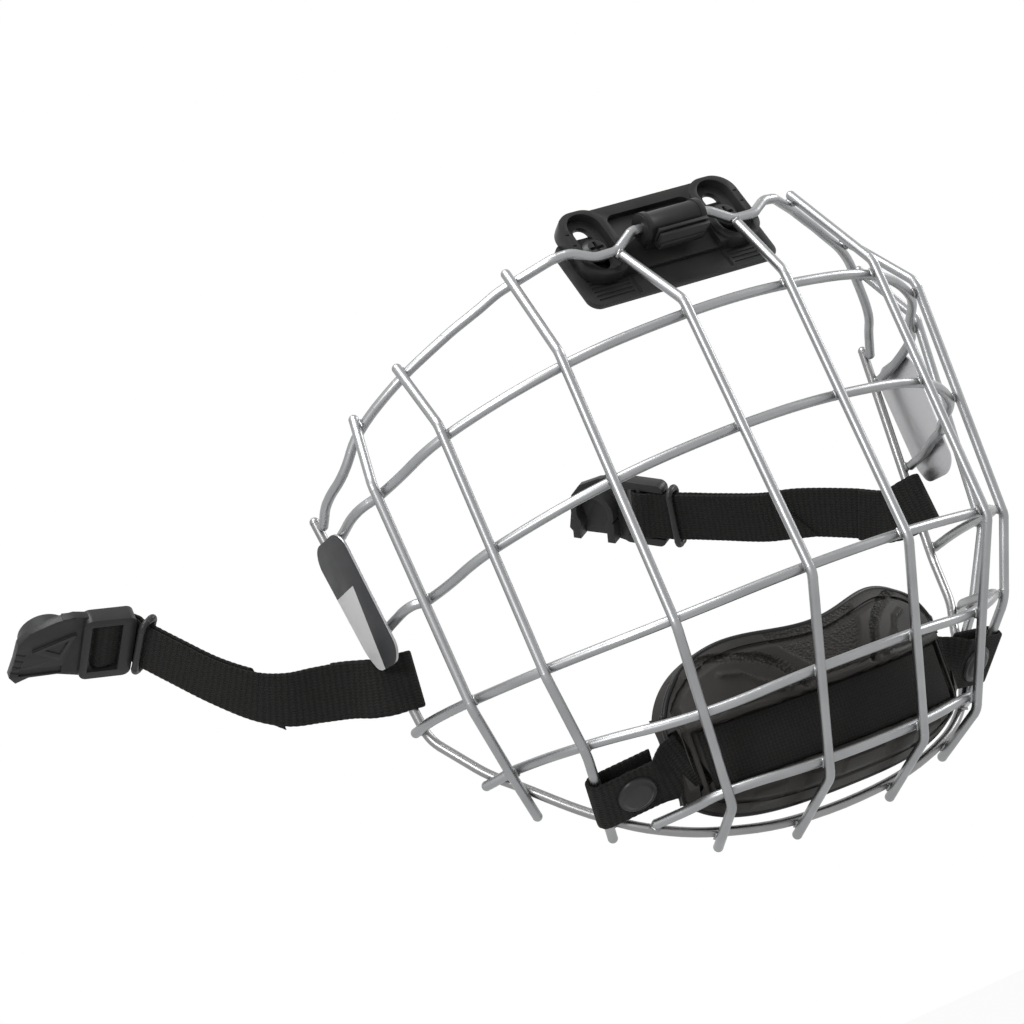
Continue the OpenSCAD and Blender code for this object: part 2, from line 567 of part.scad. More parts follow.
// A padded shell over the cup's outline, shrunk by a margin, between two depths at its middle
module padded_shell(margin, y0, y1, side, nx, nz) {
  w = cup_half_w - margin;
  xs = [for (i = [0:nx]) w * sin(90 * (2 * i / nx - 1))];
  function depth(x, v) =
    let (e = min(1, (1 - abs(x) / w) / 0.16), g = min(1, (0.5 - abs(v - 0.5)) / 0.16)) sqrt(1 - pow(1 - min(e, g), 2));
  function spot(i, j, back) =
    let (x = xs[i], t = min(0.985, abs(x) / w), v = j / nz,
         z = lerp(low_edge(t) + margin, top_edge(t) - margin, (1 - cos(180 * v)) / 2),
         q = depth(x, (1 - cos(180 * v)) / 2), m = (y0 + y1) / 2)
    [x, bow(x) + lean_back(z) + m + (back ? 1 : -1) * (y1 - y0) / 2 * lerp(side, 1, q), z];
  m = (nx + 1) * (nz + 1);
  function id(i, j, k) = k * m + j * (nx + 1) + i;
  pts = [for (k = [0, 1], j = [0:nz], i = [0:nx]) spot(i, j, k == 1)];
  faces = concat(
    [for (j = [0:nz - 1], i = [0:nx - 1]) each [[id(i, j, 0), id(i, j + 1, 0), id(i + 1, j, 0)],
      [id(i + 1, j, 0), id(i, j + 1, 0), id(i + 1, j + 1, 0)]]],
    [for (j = [0:nz - 1], i = [0:nx - 1]) each [[id(i, j, 1), id(i + 1, j, 1), id(i, j + 1, 1)],
      [id(i + 1, j, 1), id(i + 1, j + 1, 1), id(i, j + 1, 1)]]],
    [for (i = [0:nx - 1]) each [[id(i, 0, 0), id(i + 1, 0, 0), id(i, 0, 1)], [id(i + 1, 0, 0), id(i + 1, 0, 1), id(i, 0, 1)]]],
    [for (i = [0:nx - 1]) each [[id(i, nz, 0), id(i, nz, 1), id(i + 1, nz, 0)], [id(i + 1, nz, 0), id(i, nz, 1), id(i + 1, nz, 1)]]],
    [for (j = [0:nz - 1]) each [[id(0, j, 0), id(0, j, 1), id(0, j + 1, 0)], [id(0, j + 1, 0), id(0, j, 1), id(0, j + 1, 1)]]],
    [for (j = [0:nz - 1]) each [[id(nx, j, 0), id(nx, j + 1, 0), id(nx, j, 1)], [id(nx, j + 1, 0), id(nx, j + 1, 1), id(nx, j, 1)]]]);
  polyhedron(points = pts, faces = faces);
}

// A piece of a cylinder about the cup's upright axis, between two radii
module cup_ring(r0, r1, half_h, half_angle) {
  translate([0, cup_r, 0]) rotate([0, 0, -90 - half_angle])
    rotate_extrude(angle = 2 * half_angle, $fn = 180) translate([r0, -half_h]) square([r1 - r0, 2 * half_h]);
}

// Webbing from the cup to the lowest side wire: loop, snap and hinged end flap
cup_wire = upright[2];
cup_dir = unit(cup_wire[4] - cup_wire[3]);
cup_root = at_z(cup_wire[3], cup_wire[4], cup_at[2] + 3.9);
slot_x = cup_half_w - 1.1;
slot_at = [slot_x, cup_at[1] + bow(slot_x) + 2, cup_at[2] + 5.1];
cup_in = square_to(slot_at - cup_root, cup_dir);
cup_out = cross(cup_in, cup_dir);
// The snap, the flat run and the end flap share the stretch from the wire to the slot
slot_span = (slot_at - cup_root) * cup_in;
snap_u = 0.397 * slot_span;
flat_u = 0.652 * slot_span;
flap_len = 0.725 * slot_span;
hinge_u = 0.95;
module on_cup_strap() {
  place(cup_root, cup_in, cup_dir, cup_out) children();
}
slot_spot = slot_at + [-2.6, -2.2, 0];
// Where the webbing leaves its straight run beside the snap, on its way to the slot
turn_spot = cup_root + cup_out * loop_r + cup_in * (flat_u + 2.5);
slot_wide = [0, -sin(cup_lean), cos(cup_lean)];
// The run from the snap to the slot, and its width direction, which turns with the cup's lean
cup_run = [for (u = [-2.5, -0.9]) turn_spot + cup_in * u, lerp(turn_spot, slot_spot, 0.3),
  lerp(turn_spot, slot_spot, 0.62), slot_spot];
cup_run_wide = [for (k = [0, 0.08, 0.6, 1, 1]) lerp(-cup_dir, slot_wide, k)];

module cup_strap() {
  color([0.06, 0.06, 0.06]) {
    on_cup_strap() {
      rotate([90, 0, 0]) rotate([0, 0, 90]) rotate_extrude(angle = 180, $fn = round_fn)
        translate([loop_r - web_t / 2, -web_w / 2]) square([web_t, web_w]);
      difference() {
        translate([-0.02, -web_w / 2, loop_r - web_t / 2]) cube([flat_u + 0.12, web_w, web_t]);
        translate([snap_u, 0, loop_r - web_t]) cylinder(r = 1.5, h = 2 * web_t, $fn = round_fn);
      }
    }
    ribbon(cup_run, cup_run_wide, web_w - 0.02);
  }
}

module snap_cap() {
  color([0.1, 0.1, 0.1]) on_cup_strap() translate([snap_u, 0, loop_r]) {
    translate([0, 0, web_t / 2 + 0.05]) {
      cylinder(d1 = snap_d, d2 = snap_d - 0.8, h = 0.9, $fn = round_fn);
      translate([0, 0, 0.9]) cylinder(d1 = snap_d - 2.2, d2 = snap_d - 4, h = 0.6, $fn = round_fn);
    }
    // Post through the webbing, shoulder and stud
    translate([0, 0, -web_t / 2 - 0.6]) cylinder(r = 1.45, h = web_t + 1, $fn = round_fn);
    translate([0, 0, -loop_r - 0.45]) cylinder(r = 3.4, h = loop_r + 0.45 - web_t / 2 - 0.05, $fn = round_fn);
    translate([0, 0, -loop_r - 1.2]) cylinder(r = 2, h = 1, $fn = round_fn);
  }
}

module snap_flap() {
  color([0.06, 0.06, 0.06]) on_cup_strap() translate([0, 0, -loop_r]) {
    translate([hinge_u, 0, 0]) rotate([90, 0, 0]) cylinder(d = web_t, h = web_w, center = true, $fn = round_fn);
    difference() {
      translate([hinge_u, -web_w / 2, -web_t / 2]) cube([flap_len - hinge_u, web_w, web_t]);
      translate([snap_u, 0, -web_t]) cylinder(r = 1.5, h = 2 * web_t, $fn = round_fn);
    }
  }
}

module snap_socket() {
  color([0.3, 0.3, 0.31]) on_cup_strap() translate([snap_u, 0, -loop_r]) difference() {
    union() {
      translate([0, 0, web_t / 2 + 0.03]) cylinder(r = 4.5, h = 1.07, $fn = round_fn);
      translate([0, 0, -web_t / 2 - 0.9]) cylinder(r = 1.45, h = web_t + 1.5, $fn = round_fn);
      translate([0, 0, -web_t / 2 - 0.93]) cylinder(r = 4.5, h = 0.9, $fn = round_fn);
    }
    translate([0, 0, web_t / 2 + 0.4]) cylinder(r = 2.3, h = 2, $fn = round_fn);
  }
}

module chin_cup() {
  color([0.1, 0.1, 0.1]) difference() {
    on_cup() difference() {
      padded_shell(0, 0, cup_t, 0.55, 26, 14);
      cup_ring(cup_r - channel_depth, cup_r + 3, web_w / 2 + 0.4, channel_angle);
    }
    both_sides() cup_slot();
  }
}

// Pocket in the cup's side, with room for the webbing over the cup's tilt
module cup_slot() {
  deeper = slot_spot + 1.5 * unit(slot_spot - turn_spot);
  ribbon([for (k = [0:4]) k == 4 ? deeper : cup_run[k]], cup_run_wide, web_w + 1.6, web_t + 3.2);
}

module chin_liner() {
  color([0.14, 0.14, 0.15]) on_cup() translate([0, cup_t + liner_gap, 0]) padded_shell(7, 0, 4, 0.4, 22, 12);
}

module chin_webbing() {
  color([0.07, 0.07, 0.07]) on_cup() cup_ring(cup_r - channel_depth + 0.1, cup_r - channel_depth + 0.1 + web_t, web_w / 2, channel_angle - 1);
}

face_screws();
forehead_pad();
hinge_plate();
hinge_barrel();
brow_wire();
jaw_wire();
cross_wire(0);  // cross_wire_1
cross_wire(1);  // cross_wire_2
cross_wire(2);  // cross_wire_3
cross_wire(3);  // cross_wire_4
cross_wire(4);  // cross_wire_5
upright_wire(0);  // upright_left_1
upright_wire(1);  // upright_left_2
upright_wire(2);  // upright_left_3
upright_wire(3);  // upright_left_4
mirror([1, 0, 0]) upright_wire(0);  // upright_right_1
mirror([1, 0, 0]) upright_wire(1);  // upright_right_2
mirror([1, 0, 0]) upright_wire(2);  // upright_right_3
mirror([1, 0, 0]) upright_wire(3);  // upright_right_4
label_plate();  // label_plate_left
mirror([1, 0, 0]) label_plate();  // label_plate_right
side_strap(way_left, tilt_left);  // side_strap_left
mirror([1, 0, 0]) side_strap(way_right, tilt_right);  // side_strap_right
keeper(way_left, tilt_left);  // keeper_left
mirror([1, 0, 0]) keeper(way_right, tilt_right);  // keeper_right
buckle(way_left, tilt_left);  // buckle_left
mirror([1, 0, 0]) buckle(way_right, tilt_right);  // buckle_right
chin_cup();
chin_liner();
chin_webbing();
cup_strap();  // cup_strap_left
mirror([1, 0, 0]) cup_strap();  // cup_strap_right
snap_cap();  // snap_cap_left
mirror([1, 0, 0]) snap_cap();  // snap_cap_right
snap_flap();  // snap_flap_left
mirror([1, 0, 0]) snap_flap();  // snap_flap_right
snap_socket();  // snap_socket_left
mirror([1, 0, 0]) snap_socket();  // snap_socket_right
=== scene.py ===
import bpy
import math
import random
from mathutils import Matrix, Vector, noise
from mathutils.kdtree import KDTree


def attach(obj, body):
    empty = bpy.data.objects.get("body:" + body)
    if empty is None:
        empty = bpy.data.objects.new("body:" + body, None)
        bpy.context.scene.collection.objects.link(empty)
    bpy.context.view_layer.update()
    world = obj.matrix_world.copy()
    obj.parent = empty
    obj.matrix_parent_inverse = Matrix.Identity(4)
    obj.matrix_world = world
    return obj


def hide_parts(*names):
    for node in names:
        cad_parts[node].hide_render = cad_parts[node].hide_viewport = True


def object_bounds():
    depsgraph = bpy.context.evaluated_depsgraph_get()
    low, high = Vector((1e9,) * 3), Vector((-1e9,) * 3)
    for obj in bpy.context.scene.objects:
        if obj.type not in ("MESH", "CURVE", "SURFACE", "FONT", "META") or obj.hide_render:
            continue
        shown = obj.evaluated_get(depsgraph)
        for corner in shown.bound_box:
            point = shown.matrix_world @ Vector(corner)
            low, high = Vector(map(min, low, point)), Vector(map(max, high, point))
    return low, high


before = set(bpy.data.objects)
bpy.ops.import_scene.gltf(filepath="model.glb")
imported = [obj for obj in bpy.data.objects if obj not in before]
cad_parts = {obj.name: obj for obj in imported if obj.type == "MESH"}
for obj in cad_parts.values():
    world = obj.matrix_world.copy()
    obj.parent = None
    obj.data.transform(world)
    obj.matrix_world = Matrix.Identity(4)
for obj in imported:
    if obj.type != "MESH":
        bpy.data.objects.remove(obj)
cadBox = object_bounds()
mm = 0.001
random.seed(7)
print("frame loaded")


# Camera and light

shot = {
    "place": (-481.61, -688.38, -211.56),
    "right": (0.8257, -0.3961, -0.4016),
    "down": (-0.2662, 0.354, -0.8965),
    "forward": (0.4973, 0.8472, 0.1869),
    "lens": 109.7,
    "floorDrop": 130,
}
studio = {
    "worldFill": 0.3,
    "floorGlow": 0.95,
    "top": {"at": (-300, -300, 900), "size": 0.7, "power": 13},
    "front": {"at": (-1000, -700, 250), "size": 0.45, "power": 9},
    "side": {"at": (900, -200, 300), "size": 0.4, "power": 4},
}


def setCamera():
    data = bpy.data.cameras.new("shotCamera")
    data.lens = shot["lens"]
    data.sensor_width = 36
    data.clip_start = 0.01
    camera = bpy.data.objects.new("shotCamera", data)
    right, up = Vector(shot["right"]), -Vector(shot["down"])
    turned = Matrix((right, up, -Vector(shot["forward"]))).transposed().to_4x4()
    camera.matrix_world = Matrix.Translation(Vector(shot["place"]) * mm) @ turned
    bpy.context.scene.collection.objects.link(camera)
    bpy.context.scene.camera = camera


def addSoftbox(name, at, size, power):
    data = bpy.data.lights.new(name, "AREA")
    data.shape = "DISK"
    data.size = size
    data.energy = power
    lamp = bpy.data.objects.new(name, data)
    lamp.location = Vector(at) * mm
    target = Vector((0, 20, -80)) * mm
    lamp.rotation_euler = (target - lamp.location).to_track_quat("-Z", "Y").to_euler()
    bpy.context.scene.collection.objects.link(lamp)


# 1 where the camera, a reflection or a see-through ray looks, else 0
def seenDirectly(nodes, links):
    path = nodes.new("ShaderNodeLightPath")
    first = nodes.new("ShaderNodeMath")
    first.operation = "MAXIMUM"
    links.new(path.outputs["Is Camera Ray"], first.inputs[0])
    links.new(path.outputs["Is Glossy Ray"], first.inputs[1])
    second = nodes.new("ShaderNodeMath")
    second.operation = "MAXIMUM"
    links.new(first.outputs[0], second.inputs[0])
    links.new(path.outputs["Is Transmission Ray"], second.inputs[1])
    return second.outputs[0]


def setWorld():
    world = bpy.data.worlds.new("paleStudio")
    bpy.context.scene.world = world
    world.use_nodes = True
    nodes, links = world.node_tree.nodes, world.node_tree.links
    strength = nodes.new("ShaderNodeMapRange")
    strength.inputs["To Min"].default_value = studio["worldFill"]
    strength.inputs["To Max"].default_value = 1.0
    links.new(seenDirectly(nodes, links), strength.inputs["Value"])
    background = nodes["Background"]
    background.inputs["Color"].default_value = (1, 1, 1, 1)
    links.new(strength.outputs["Result"], background.inputs["Strength"])


def setFloor():
    low = cadBox[0].z - shot["floorDrop"] * mm
    bpy.ops.object.select_all(action="DESELECT")
    bpy.ops.mesh.primitive_grid_add(x_subdivisions=2, y_subdivisions=2, size=12, location=(0, 0, low))
    floor = bpy.context.object
    floor.name = "paleFloor"
    paint = bpy.data.materials.new("paleFloor")
    paint.use_nodes = True
    nodes, links = paint.node_tree.nodes, paint.node_tree.links
    shader = nodes["Principled BSDF"]
    shader.inputs["Base Color"].default_value = (0.9, 0.9, 0.9, 1)
    shader.inputs["Roughness"].default_value = 0.9
    glow = nodes.new("ShaderNodeEmission")
    mix = nodes.new("ShaderNodeMixShader")
    share = nodes.new("ShaderNodeMath")
    share.operation = "MULTIPLY"
    share.inputs[1].default_value = studio["floorGlow"]
    links.new(seenDirectly(nodes, links), share.inputs[0])
    links.new(share.outputs[0], mix.inputs[0])
    links.new(shader.outputs[0], mix.inputs[1])
    links.new(glow.outputs[0], mix.inputs[2])
    links.new(mix.outputs[0], nodes["Material Output"].inputs["Surface"])
    floor.data.materials.append(paint)


setCamera()
setWorld()
setFloor()
for lampName in ("top", "front", "side"):
    addSoftbox(lampName + "Softbox", **studio[lampName])
bpy.context.scene.view_settings.view_transform = "Standard"
print("camera and light set")


# Finishes

# A material with a few short ways to add nodes
class Finish:
    def __init__(self, name, color, roughness, metallic=0.0, specular=0.5):
        self.material = bpy.data.materials.new(name)
        self.material.use_nodes = True
        self.nodes = self.material.node_tree.nodes
        self.links = self.material.node_tree.links
        self.shader = self.nodes["Principled BSDF"]
        self.shader.inputs["Base Color"].default_value = (*color, 1)
        self.shader.inputs["Roughness"].default_value = roughness
        self.shader.inputs["Metallic"].default_value = metallic
        self.shader.inputs["Specular IOR Level"].default_value = specular
        self.coords = self.nodes.new("ShaderNodeTexCoord")

    def mapped(self, where="Object", scale=(1, 1, 1), turn=(0, 0, 0)):
        node = self.nodes.new("ShaderNodeMapping")
        node.inputs["Scale"].default_value = scale
        node.inputs["Rotation"].default_value = turn
        self.links.new(self.coords.outputs[where], node.inputs["Vector"])
        return node.outputs["Vector"]

    def noise(self, scale, detail=3, rough=0.5, where="Object", stretch=(1, 1, 1)):
        node = self.nodes.new("ShaderNodeTexNoise")
        node.inputs["Scale"].default_value = scale
        node.inputs["Detail"].default_value = detail
        node.inputs["Roughness"].default_value = rough
        self.links.new(self.mapped(where, stretch), node.inputs["Vector"])
        return node.outputs["Fac"]

    def math(self, operation, a, b=0.0, clamp=False):
        node = self.nodes.new("ShaderNodeMath")
        node.operation = operation
        node.use_clamp = clamp
        for k, value in enumerate((a, b)):
            if isinstance(value, (int, float)):
                node.inputs[k].default_value = value
            else:
                self.links.new(value, node.inputs[k])
        return node.outputs[0]

    def spread(self, value, low, high, fromLow=0.3, fromHigh=0.7):
        node = self.nodes.new("ShaderNodeMapRange")
        node.inputs["From Min"].default_value = fromLow
        node.inputs["From Max"].default_value = fromHigh
        node.inputs["To Min"].default_value = low
        node.inputs["To Max"].default_value = high
        self.links.new(value, node.inputs["Value"])
        return node.outputs["Result"]

    def blend(self, share, first, second):
        node = self.nodes.new("ShaderNodeMix")
        node.data_type = "RGBA"
        self.links.new(share, node.inputs["Factor"])
        for key, value in (("A", first), ("B", second)):
            socket = [s for s in node.inputs if s.name == key and s.type == "RGBA"][0]
            if isinstance(value, tuple):
                socket.default_value = (*value, 1)
            else:
                self.links.new(value, socket)
        return [s for s in node.outputs if s.type == "RGBA"][0]

    def setColor(self, value):
        self.links.new(value, self.shader.inputs["Base Color"])

    def setRoughness(self, value):
        self.links.new(value, self.shader.inputs["Roughness"])

    def bump(self, height, depth, strength=1.0):
        node = self.nodes.new("ShaderNodeBump")
        node.inputs["Strength"].default_value = strength
        node.inputs["Distance"].default_value = depth * mm
        self.links.new(height, node.inputs["Height"])
        last = self.shader.inputs["Normal"]
        if last.is_linked:
            self.links.new(last.links[0].from_socket, node.inputs["Normal"])
        self.links.new(node.outputs["Normal"], last)


def wireFinish(name, color, roughness):
    wire = Finish(name, color, roughness, metallic=1.0)
    cloud = wire.noise(90, 4)
    fine = wire.noise(1400, 2)
    darker = tuple(c * 0.86 for c in color)
    wire.setColor(wire.blend(wire.spread(cloud, 0, 1), color, darker))
    wire.setRoughness(wire.spread(cloud, roughness - 0.04, roughness + 0.06))
    wire.bump(fine, 0.006, 0.3)
    return wire.material


def mouldedFinish(name, color, roughness, grain=900, depth=0.05):
    plastic = Finish(name, color, roughness, specular=0.2)
    cloud = plastic.noise(60, 3)
    pebble = plastic.noise(grain, 3, 0.6)
    paler = tuple(c * 1.35 + 0.002 for c in color)
    plastic.setColor(plastic.blend(plastic.spread(cloud, 0, 1), color, paler))
    plastic.setRoughness(plastic.spread(cloud, roughness - 0.05, roughness + 0.07))
    plastic.bump(pebble, depth, 0.5)
    return plastic.material


# Each weave has its rib pitch and its stitch pitch, in millimetres
webbingLook = {
    "coarse": (1.7, 0.85),
    "fine": (1.05, 0.9),
    "color": (0.005, 0.005, 0.005),
    # Colour of the weave's raised crests: a painted highlight on the crests. The darker base colour left in
    # the grooves is painted shade.
    "crestHighlight": (0.014, 0.0135, 0.0125),
}


# Woven ribs across the band; the UV map is in millimetres along and across
def webbingFinish(name, rib, stitch, lift):
    cloth = Finish(name, webbingLook["color"], 0.9, specular=0.12)
    split = cloth.nodes.new("ShaderNodeSeparateXYZ")
    cloth.links.new(cloth.coords.outputs["UV"], split.inputs[0])
    along, across = split.outputs["X"], split.outputs["Y"]
    wobble = cloth.spread(cloth.noise(900, 2), -0.16, 0.16)
    row = cloth.math("ADD", cloth.math("DIVIDE", along, rib), wobble)
    inRow = cloth.math("PINGPONG", cloth.math("ADD", row, 0.5), 0.5)
    side = cloth.math("SUBTRACT", cloth.math("FRACT", row), 0.5)
    slant = cloth.math("MULTIPLY", cloth.math("ABSOLUTE", side), 0.9)
    knot = cloth.math("ADD", cloth.math("DIVIDE", across, stitch), slant)
    thread = cloth.math("PINGPONG", knot, 0.5)
    ribShape = cloth.math("POWER", cloth.math("MULTIPLY", inRow, 2), 0.6)
    threadShape = cloth.math("POWER", cloth.math("MULTIPLY", thread, 2), 0.7)
    ribPart = cloth.math("MULTIPLY", ribShape, 0.55)
    threadPart = cloth.math("MULTIPLY", threadShape, 0.45)
    height = cloth.math("ADD", ribPart, threadPart)
    fuzz = cloth.noise(3500, 2)
    # The raised crests, broken up by fuzz noise, are painted lighter than the grooves: a painted highlight on
    # the crests and painted shade in the grooves.
    top = cloth.math("MULTIPLY", height, cloth.spread(fuzz, 0.6, 1.1), clamp=True)
    paintedCrestLight = cloth.spread(top, 0, 1, 0.25, 0.95)
    cloth.setColor(cloth.blend(paintedCrestLight, webbingLook["color"], webbingLook["crestHighlight"]))
    cloth.bump(height, 0.3 * lift, 0.9)
    cloth.bump(fuzz, 0.06, 0.5)
    cloth.shader.inputs["Sheen Weight"].default_value = 0.05
    cloth.shader.inputs["Sheen Roughness"].default_value = 0.5
    cloth.shader.inputs["Sheen Tint"].default_value = (0.6, 0.58, 0.55, 1)
    return cloth.material


satinWire = wireFinish("satinWire", (0.33, 0.335, 0.34), 0.37)
jawSteel = wireFinish("jawSteel", (0.28, 0.28, 0.28), 0.33)
weldMetal = wireFinish("weldMetal", (0.26, 0.26, 0.26), 0.32)
blackNylon = mouldedFinish("blackNylon", (0.009, 0.009, 0.0088), 0.38)
padRubber = mouldedFinish("padRubber", (0.013, 0.013, 0.013), 0.5, 700)
buckleNylon = mouldedFinish("buckleNylon", (0.011, 0.011, 0.0115), 0.4, 800, 0.07)
capEnamel = mouldedFinish("capEnamel", (0.016, 0.016, 0.017), 0.38, 500, 0.03)
ringRubber = mouldedFinish("ringRubber", (0.014, 0.014, 0.014), 0.36, 500, 0.02)
coarseWeave = webbingFinish("coarseWeave", *webbingLook["coarse"], 1.0)
fineWeave = webbingFinish("fineWeave", *webbingLook["fine"], 0.5)
print("finishes made")


# Shared ways of making pieces

def pickNothing():
    bpy.ops.object.select_all(action="DESELECT")


def pickOnly(piece):
    pickNothing()
    piece.select_set(True)
    bpy.context.view_layer.objects.active = piece


def paintMesh(mesh, material):
    mesh.materials.clear()
    mesh.materials.append(material)


def finishPiece(piece, material, body, slot, *nodes):
    paintMesh(piece.data, material)
    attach(piece, body)
    if nodes:
        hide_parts(*nodes)
    return piece


# Rounds the short edges that run through a thin sheet
def roundCorners(piece, width, thickest=2.0):
    bpy.ops.mesh.select_mode(type="EDGE")
    bpy.ops.mesh.select_all(action="DESELECT")
    bpy.ops.object.mode_set(mode="OBJECT")
    for edge in piece.data.edges:
        a, b = (piece.data.vertices[i].co for i in edge.vertices)
        edge.select = (a - b).length < thickest * mm
    bpy.ops.object.mode_set(mode="EDIT")
    bpy.ops.mesh.bevel(offset=width * mm, segments=5)
    bpy.ops.mesh.select_mode(type="VERT")


copyClean = {"merge": 0.002, "flatAngle": 1, "smoothAngle": 38}


# A merged copy of a CAD node with its edges rounded over
def softCopy(node, name, width, segments=2, sharp=30, corners=0.0):
    piece = bpy.data.objects.new(name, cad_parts[node].data.copy())
    bpy.context.scene.collection.objects.link(piece)
    pickOnly(piece)
    bpy.ops.object.mode_set(mode="EDIT")
    bpy.ops.mesh.customdata_custom_splitnormals_clear()
    bpy.ops.mesh.select_all(action="SELECT")
    bpy.ops.mesh.remove_doubles(threshold=copyClean["merge"] * mm)
    bpy.ops.mesh.dissolve_limited(angle_limit=math.radians(copyClean["flatAngle"]))
    if corners:
        roundCorners(piece, corners)
    bpy.ops.object.mode_set(mode="OBJECT")
    edge = piece.modifiers.new("softEdge", "BEVEL")
    edge.width = width * mm
    edge.segments = segments
    edge.limit_method = "ANGLE"
    edge.angle_limit = math.radians(sharp)
    edge.harden_normals = False
    bpy.ops.object.modifier_apply(modifier=edge.name)
    bpy.ops.object.shade_smooth_by_angle(angle=math.radians(copyClean["smoothAngle"]))
    return piece


def unit(v):
    return v / v.length


def squareTo(a, t):
    return unit(a - a.dot(t) * t)


def lerp(a, b, t):
    return a + (b - a) * t


def smooth(t):
    s = min(1, max(0, t))
    return s * s * (3 - 2 * s)


# Catmull-Rom steps between given points or numbers
def refine(points, steps):
    out = []
    for i in range(len(points) - 1):
        p0, p1, p2 = points[max(0, i - 1)], points[i], points[i + 1]
        p3 = points[min(len(points) - 1, i + 2)]
        for j in range(steps):
            u = j / steps
            out.append(0.5 * (2 * p1 + (p2 - p0) * u + (2 * p0 - 5 * p1 + 4 * p2 - p3) * u * u
                              + (3 * p1 - p0 - 3 * p2 + p3) * u ** 3))
    return out + [points[-1]]


def tangents(points):
    n = len(points)
    return [unit(points[min(n - 1, i + 1)] - points[max(0, i - 1)]) for i in range(n)]


def lengths(points):
    out = [0.0]
    for a, b in zip(points, points[1:]):
        out.append(out[-1] + (b - a).length)
    return out


# Closed round tube along points (mm)
def makeTube(name, points, radius, sides=10):
    n = len(points)
    pickNothing()
    bpy.ops.mesh.primitive_grid_add(x_subdivisions=n, y_subdivisions=sides, size=1)
    tube = bpy.context.object
    tube.name = name
    for v in tube.data.vertices:
        i = round((v.co.x + 0.5) * n) % n
        turn = 2 * math.pi * (v.co.y + 0.5)
        t = unit(points[(i + 1) % n] - points[i - 1])
        a = squareTo(Vector((0, 1, 0)), t)
        v.co = (points[i] + radius * (a * math.cos(turn) + t.cross(a) * math.sin(turn))) * mm
    bpy.ops.object.mode_set(mode="EDIT")
    bpy.ops.mesh.select_all(action="SELECT")
    bpy.ops.mesh.remove_doubles(threshold=0.01 * mm)
    bpy.ops.mesh.normals_make_consistent(inside=False)
    bpy.ops.object.mode_set(mode="OBJECT")
    bpy.ops.object.shade_smooth()
    return tube


webbing = {"width": 16.0, "thick": 1.3, "drawnThick": 1.16, "edge": 0.65, "rowsPerRib": 6}

# Angles of a half turn, for webbing that goes round a wire or a bar
halfTurn = [math.radians(-90 + 11.25 * k) for k in range(17)]


# Flat woven band along points (mm), its width along the wide directions, ribs as real relief
def makeWebbing(name, points, wide, rib=webbingLook["coarse"][0], ribLift=0.13, width=webbing["width"],
                thick=webbing["drawnThick"], endCut=0.0, taper=14.0):
    s = lengths(points)
    t = tangents(points)
    total = s[-1]
    cross = [-8.0, -7.93, -7.7, -7.3, -6.4, -4.8, -3.2, -1.6, 0, 1.6, 3.2, 4.8, 6.4, 7.3, 7.7, 7.93, 8.0]
    ring = [(c, 1) for c in cross] + [(c, -1) for c in reversed(cross[1:-1])]
    rows = int(total / rib * webbing["rowsPerRib"])
    pickNothing()
    bpy.ops.mesh.primitive_grid_add(x_subdivisions=rows, y_subdivisions=len(ring), size=1)
    band = bpy.context.object
    band.name = name
    mesh = band.data
    along, acrossAt = [0.0] * len(mesh.vertices), [0.0] * len(mesh.vertices)
    k = 0
    order = sorted(range(len(mesh.vertices)), key=lambda i: mesh.vertices[i].co.x)
    for i in order:
        v = mesh.vertices[i]
        sHere = (v.co.x + 0.5) * total
        c, side = ring[round((v.co.y + 0.5) * len(ring)) % len(ring)]
        a = c * width / webbing["width"]
        if endCut and sHere > total - taper:
            stop = total - endCut * (0.5 - a / width)
            sHere = lerp(total - taper, stop, (sHere - total + taper) / taper)
        while k < len(s) - 2 and s[k + 1] < sHere:
            k += 1
        while k > 0 and s[k] > sHere:
            k -= 1
        u = (sHere - s[k]) / max(1e-9, s[k + 1] - s[k])
        p = lerp(points[k], points[k + 1], u)
        tHere = unit(lerp(t[k], t[k + 1], u))
        e = squareTo(lerp(wide[k], wide[k + 1], u), tHere)
        f = tHere.cross(e)
        edge = max(0.0, (abs(a) - (width / 2 - webbing["edge"])) / webbing["edge"])
        half = thick / 2 * math.sqrt(max(0.0, 1 - min(1.0, edge) ** 2))
        wave = abs(math.sin(math.pi * sHere / rib)) ** 0.7
        half += ribLift * (wave - 0.5) * (1 - 0.5 * edge)
        grow = 1 + 0.012 * (wave - 0.5)
        end = min(sHere, total - sHere) / 0.5
        if end < 1:
            half *= 0.55 + 0.45 * max(0, end)
        along[i], acrossAt[i] = sHere, a if side > 0 else -a + 40
        v.co = (p + e * a * grow + f * side * max(0.02, half)) * mm
    uv = mesh.uv_layers[0].data
    for loop in mesh.loops:
        uv[loop.index].uv = (along[loop.vertex_index], acrossAt[loop.vertex_index])
    bpy.ops.object.mode_set(mode="EDIT")
    bpy.ops.mesh.select_all(action="SELECT")
    bpy.ops.mesh.remove_doubles(threshold=0.004 * mm)
    bpy.ops.mesh.select_all(action="DESELECT")
    bpy.ops.mesh.select_non_manifold()
    bpy.ops.mesh.fill_holes(sides=0)
    bpy.ops.mesh.select_all(action="SELECT")
    bpy.ops.mesh.normals_make_consistent(inside=False)
    bpy.ops.object.mode_set(mode="OBJECT")
    bpy.ops.object.shade_smooth_by_angle(angle=math.radians(50))
    return band


# Cage wires: the CAD tubes stay; welds go on where they seat on each other

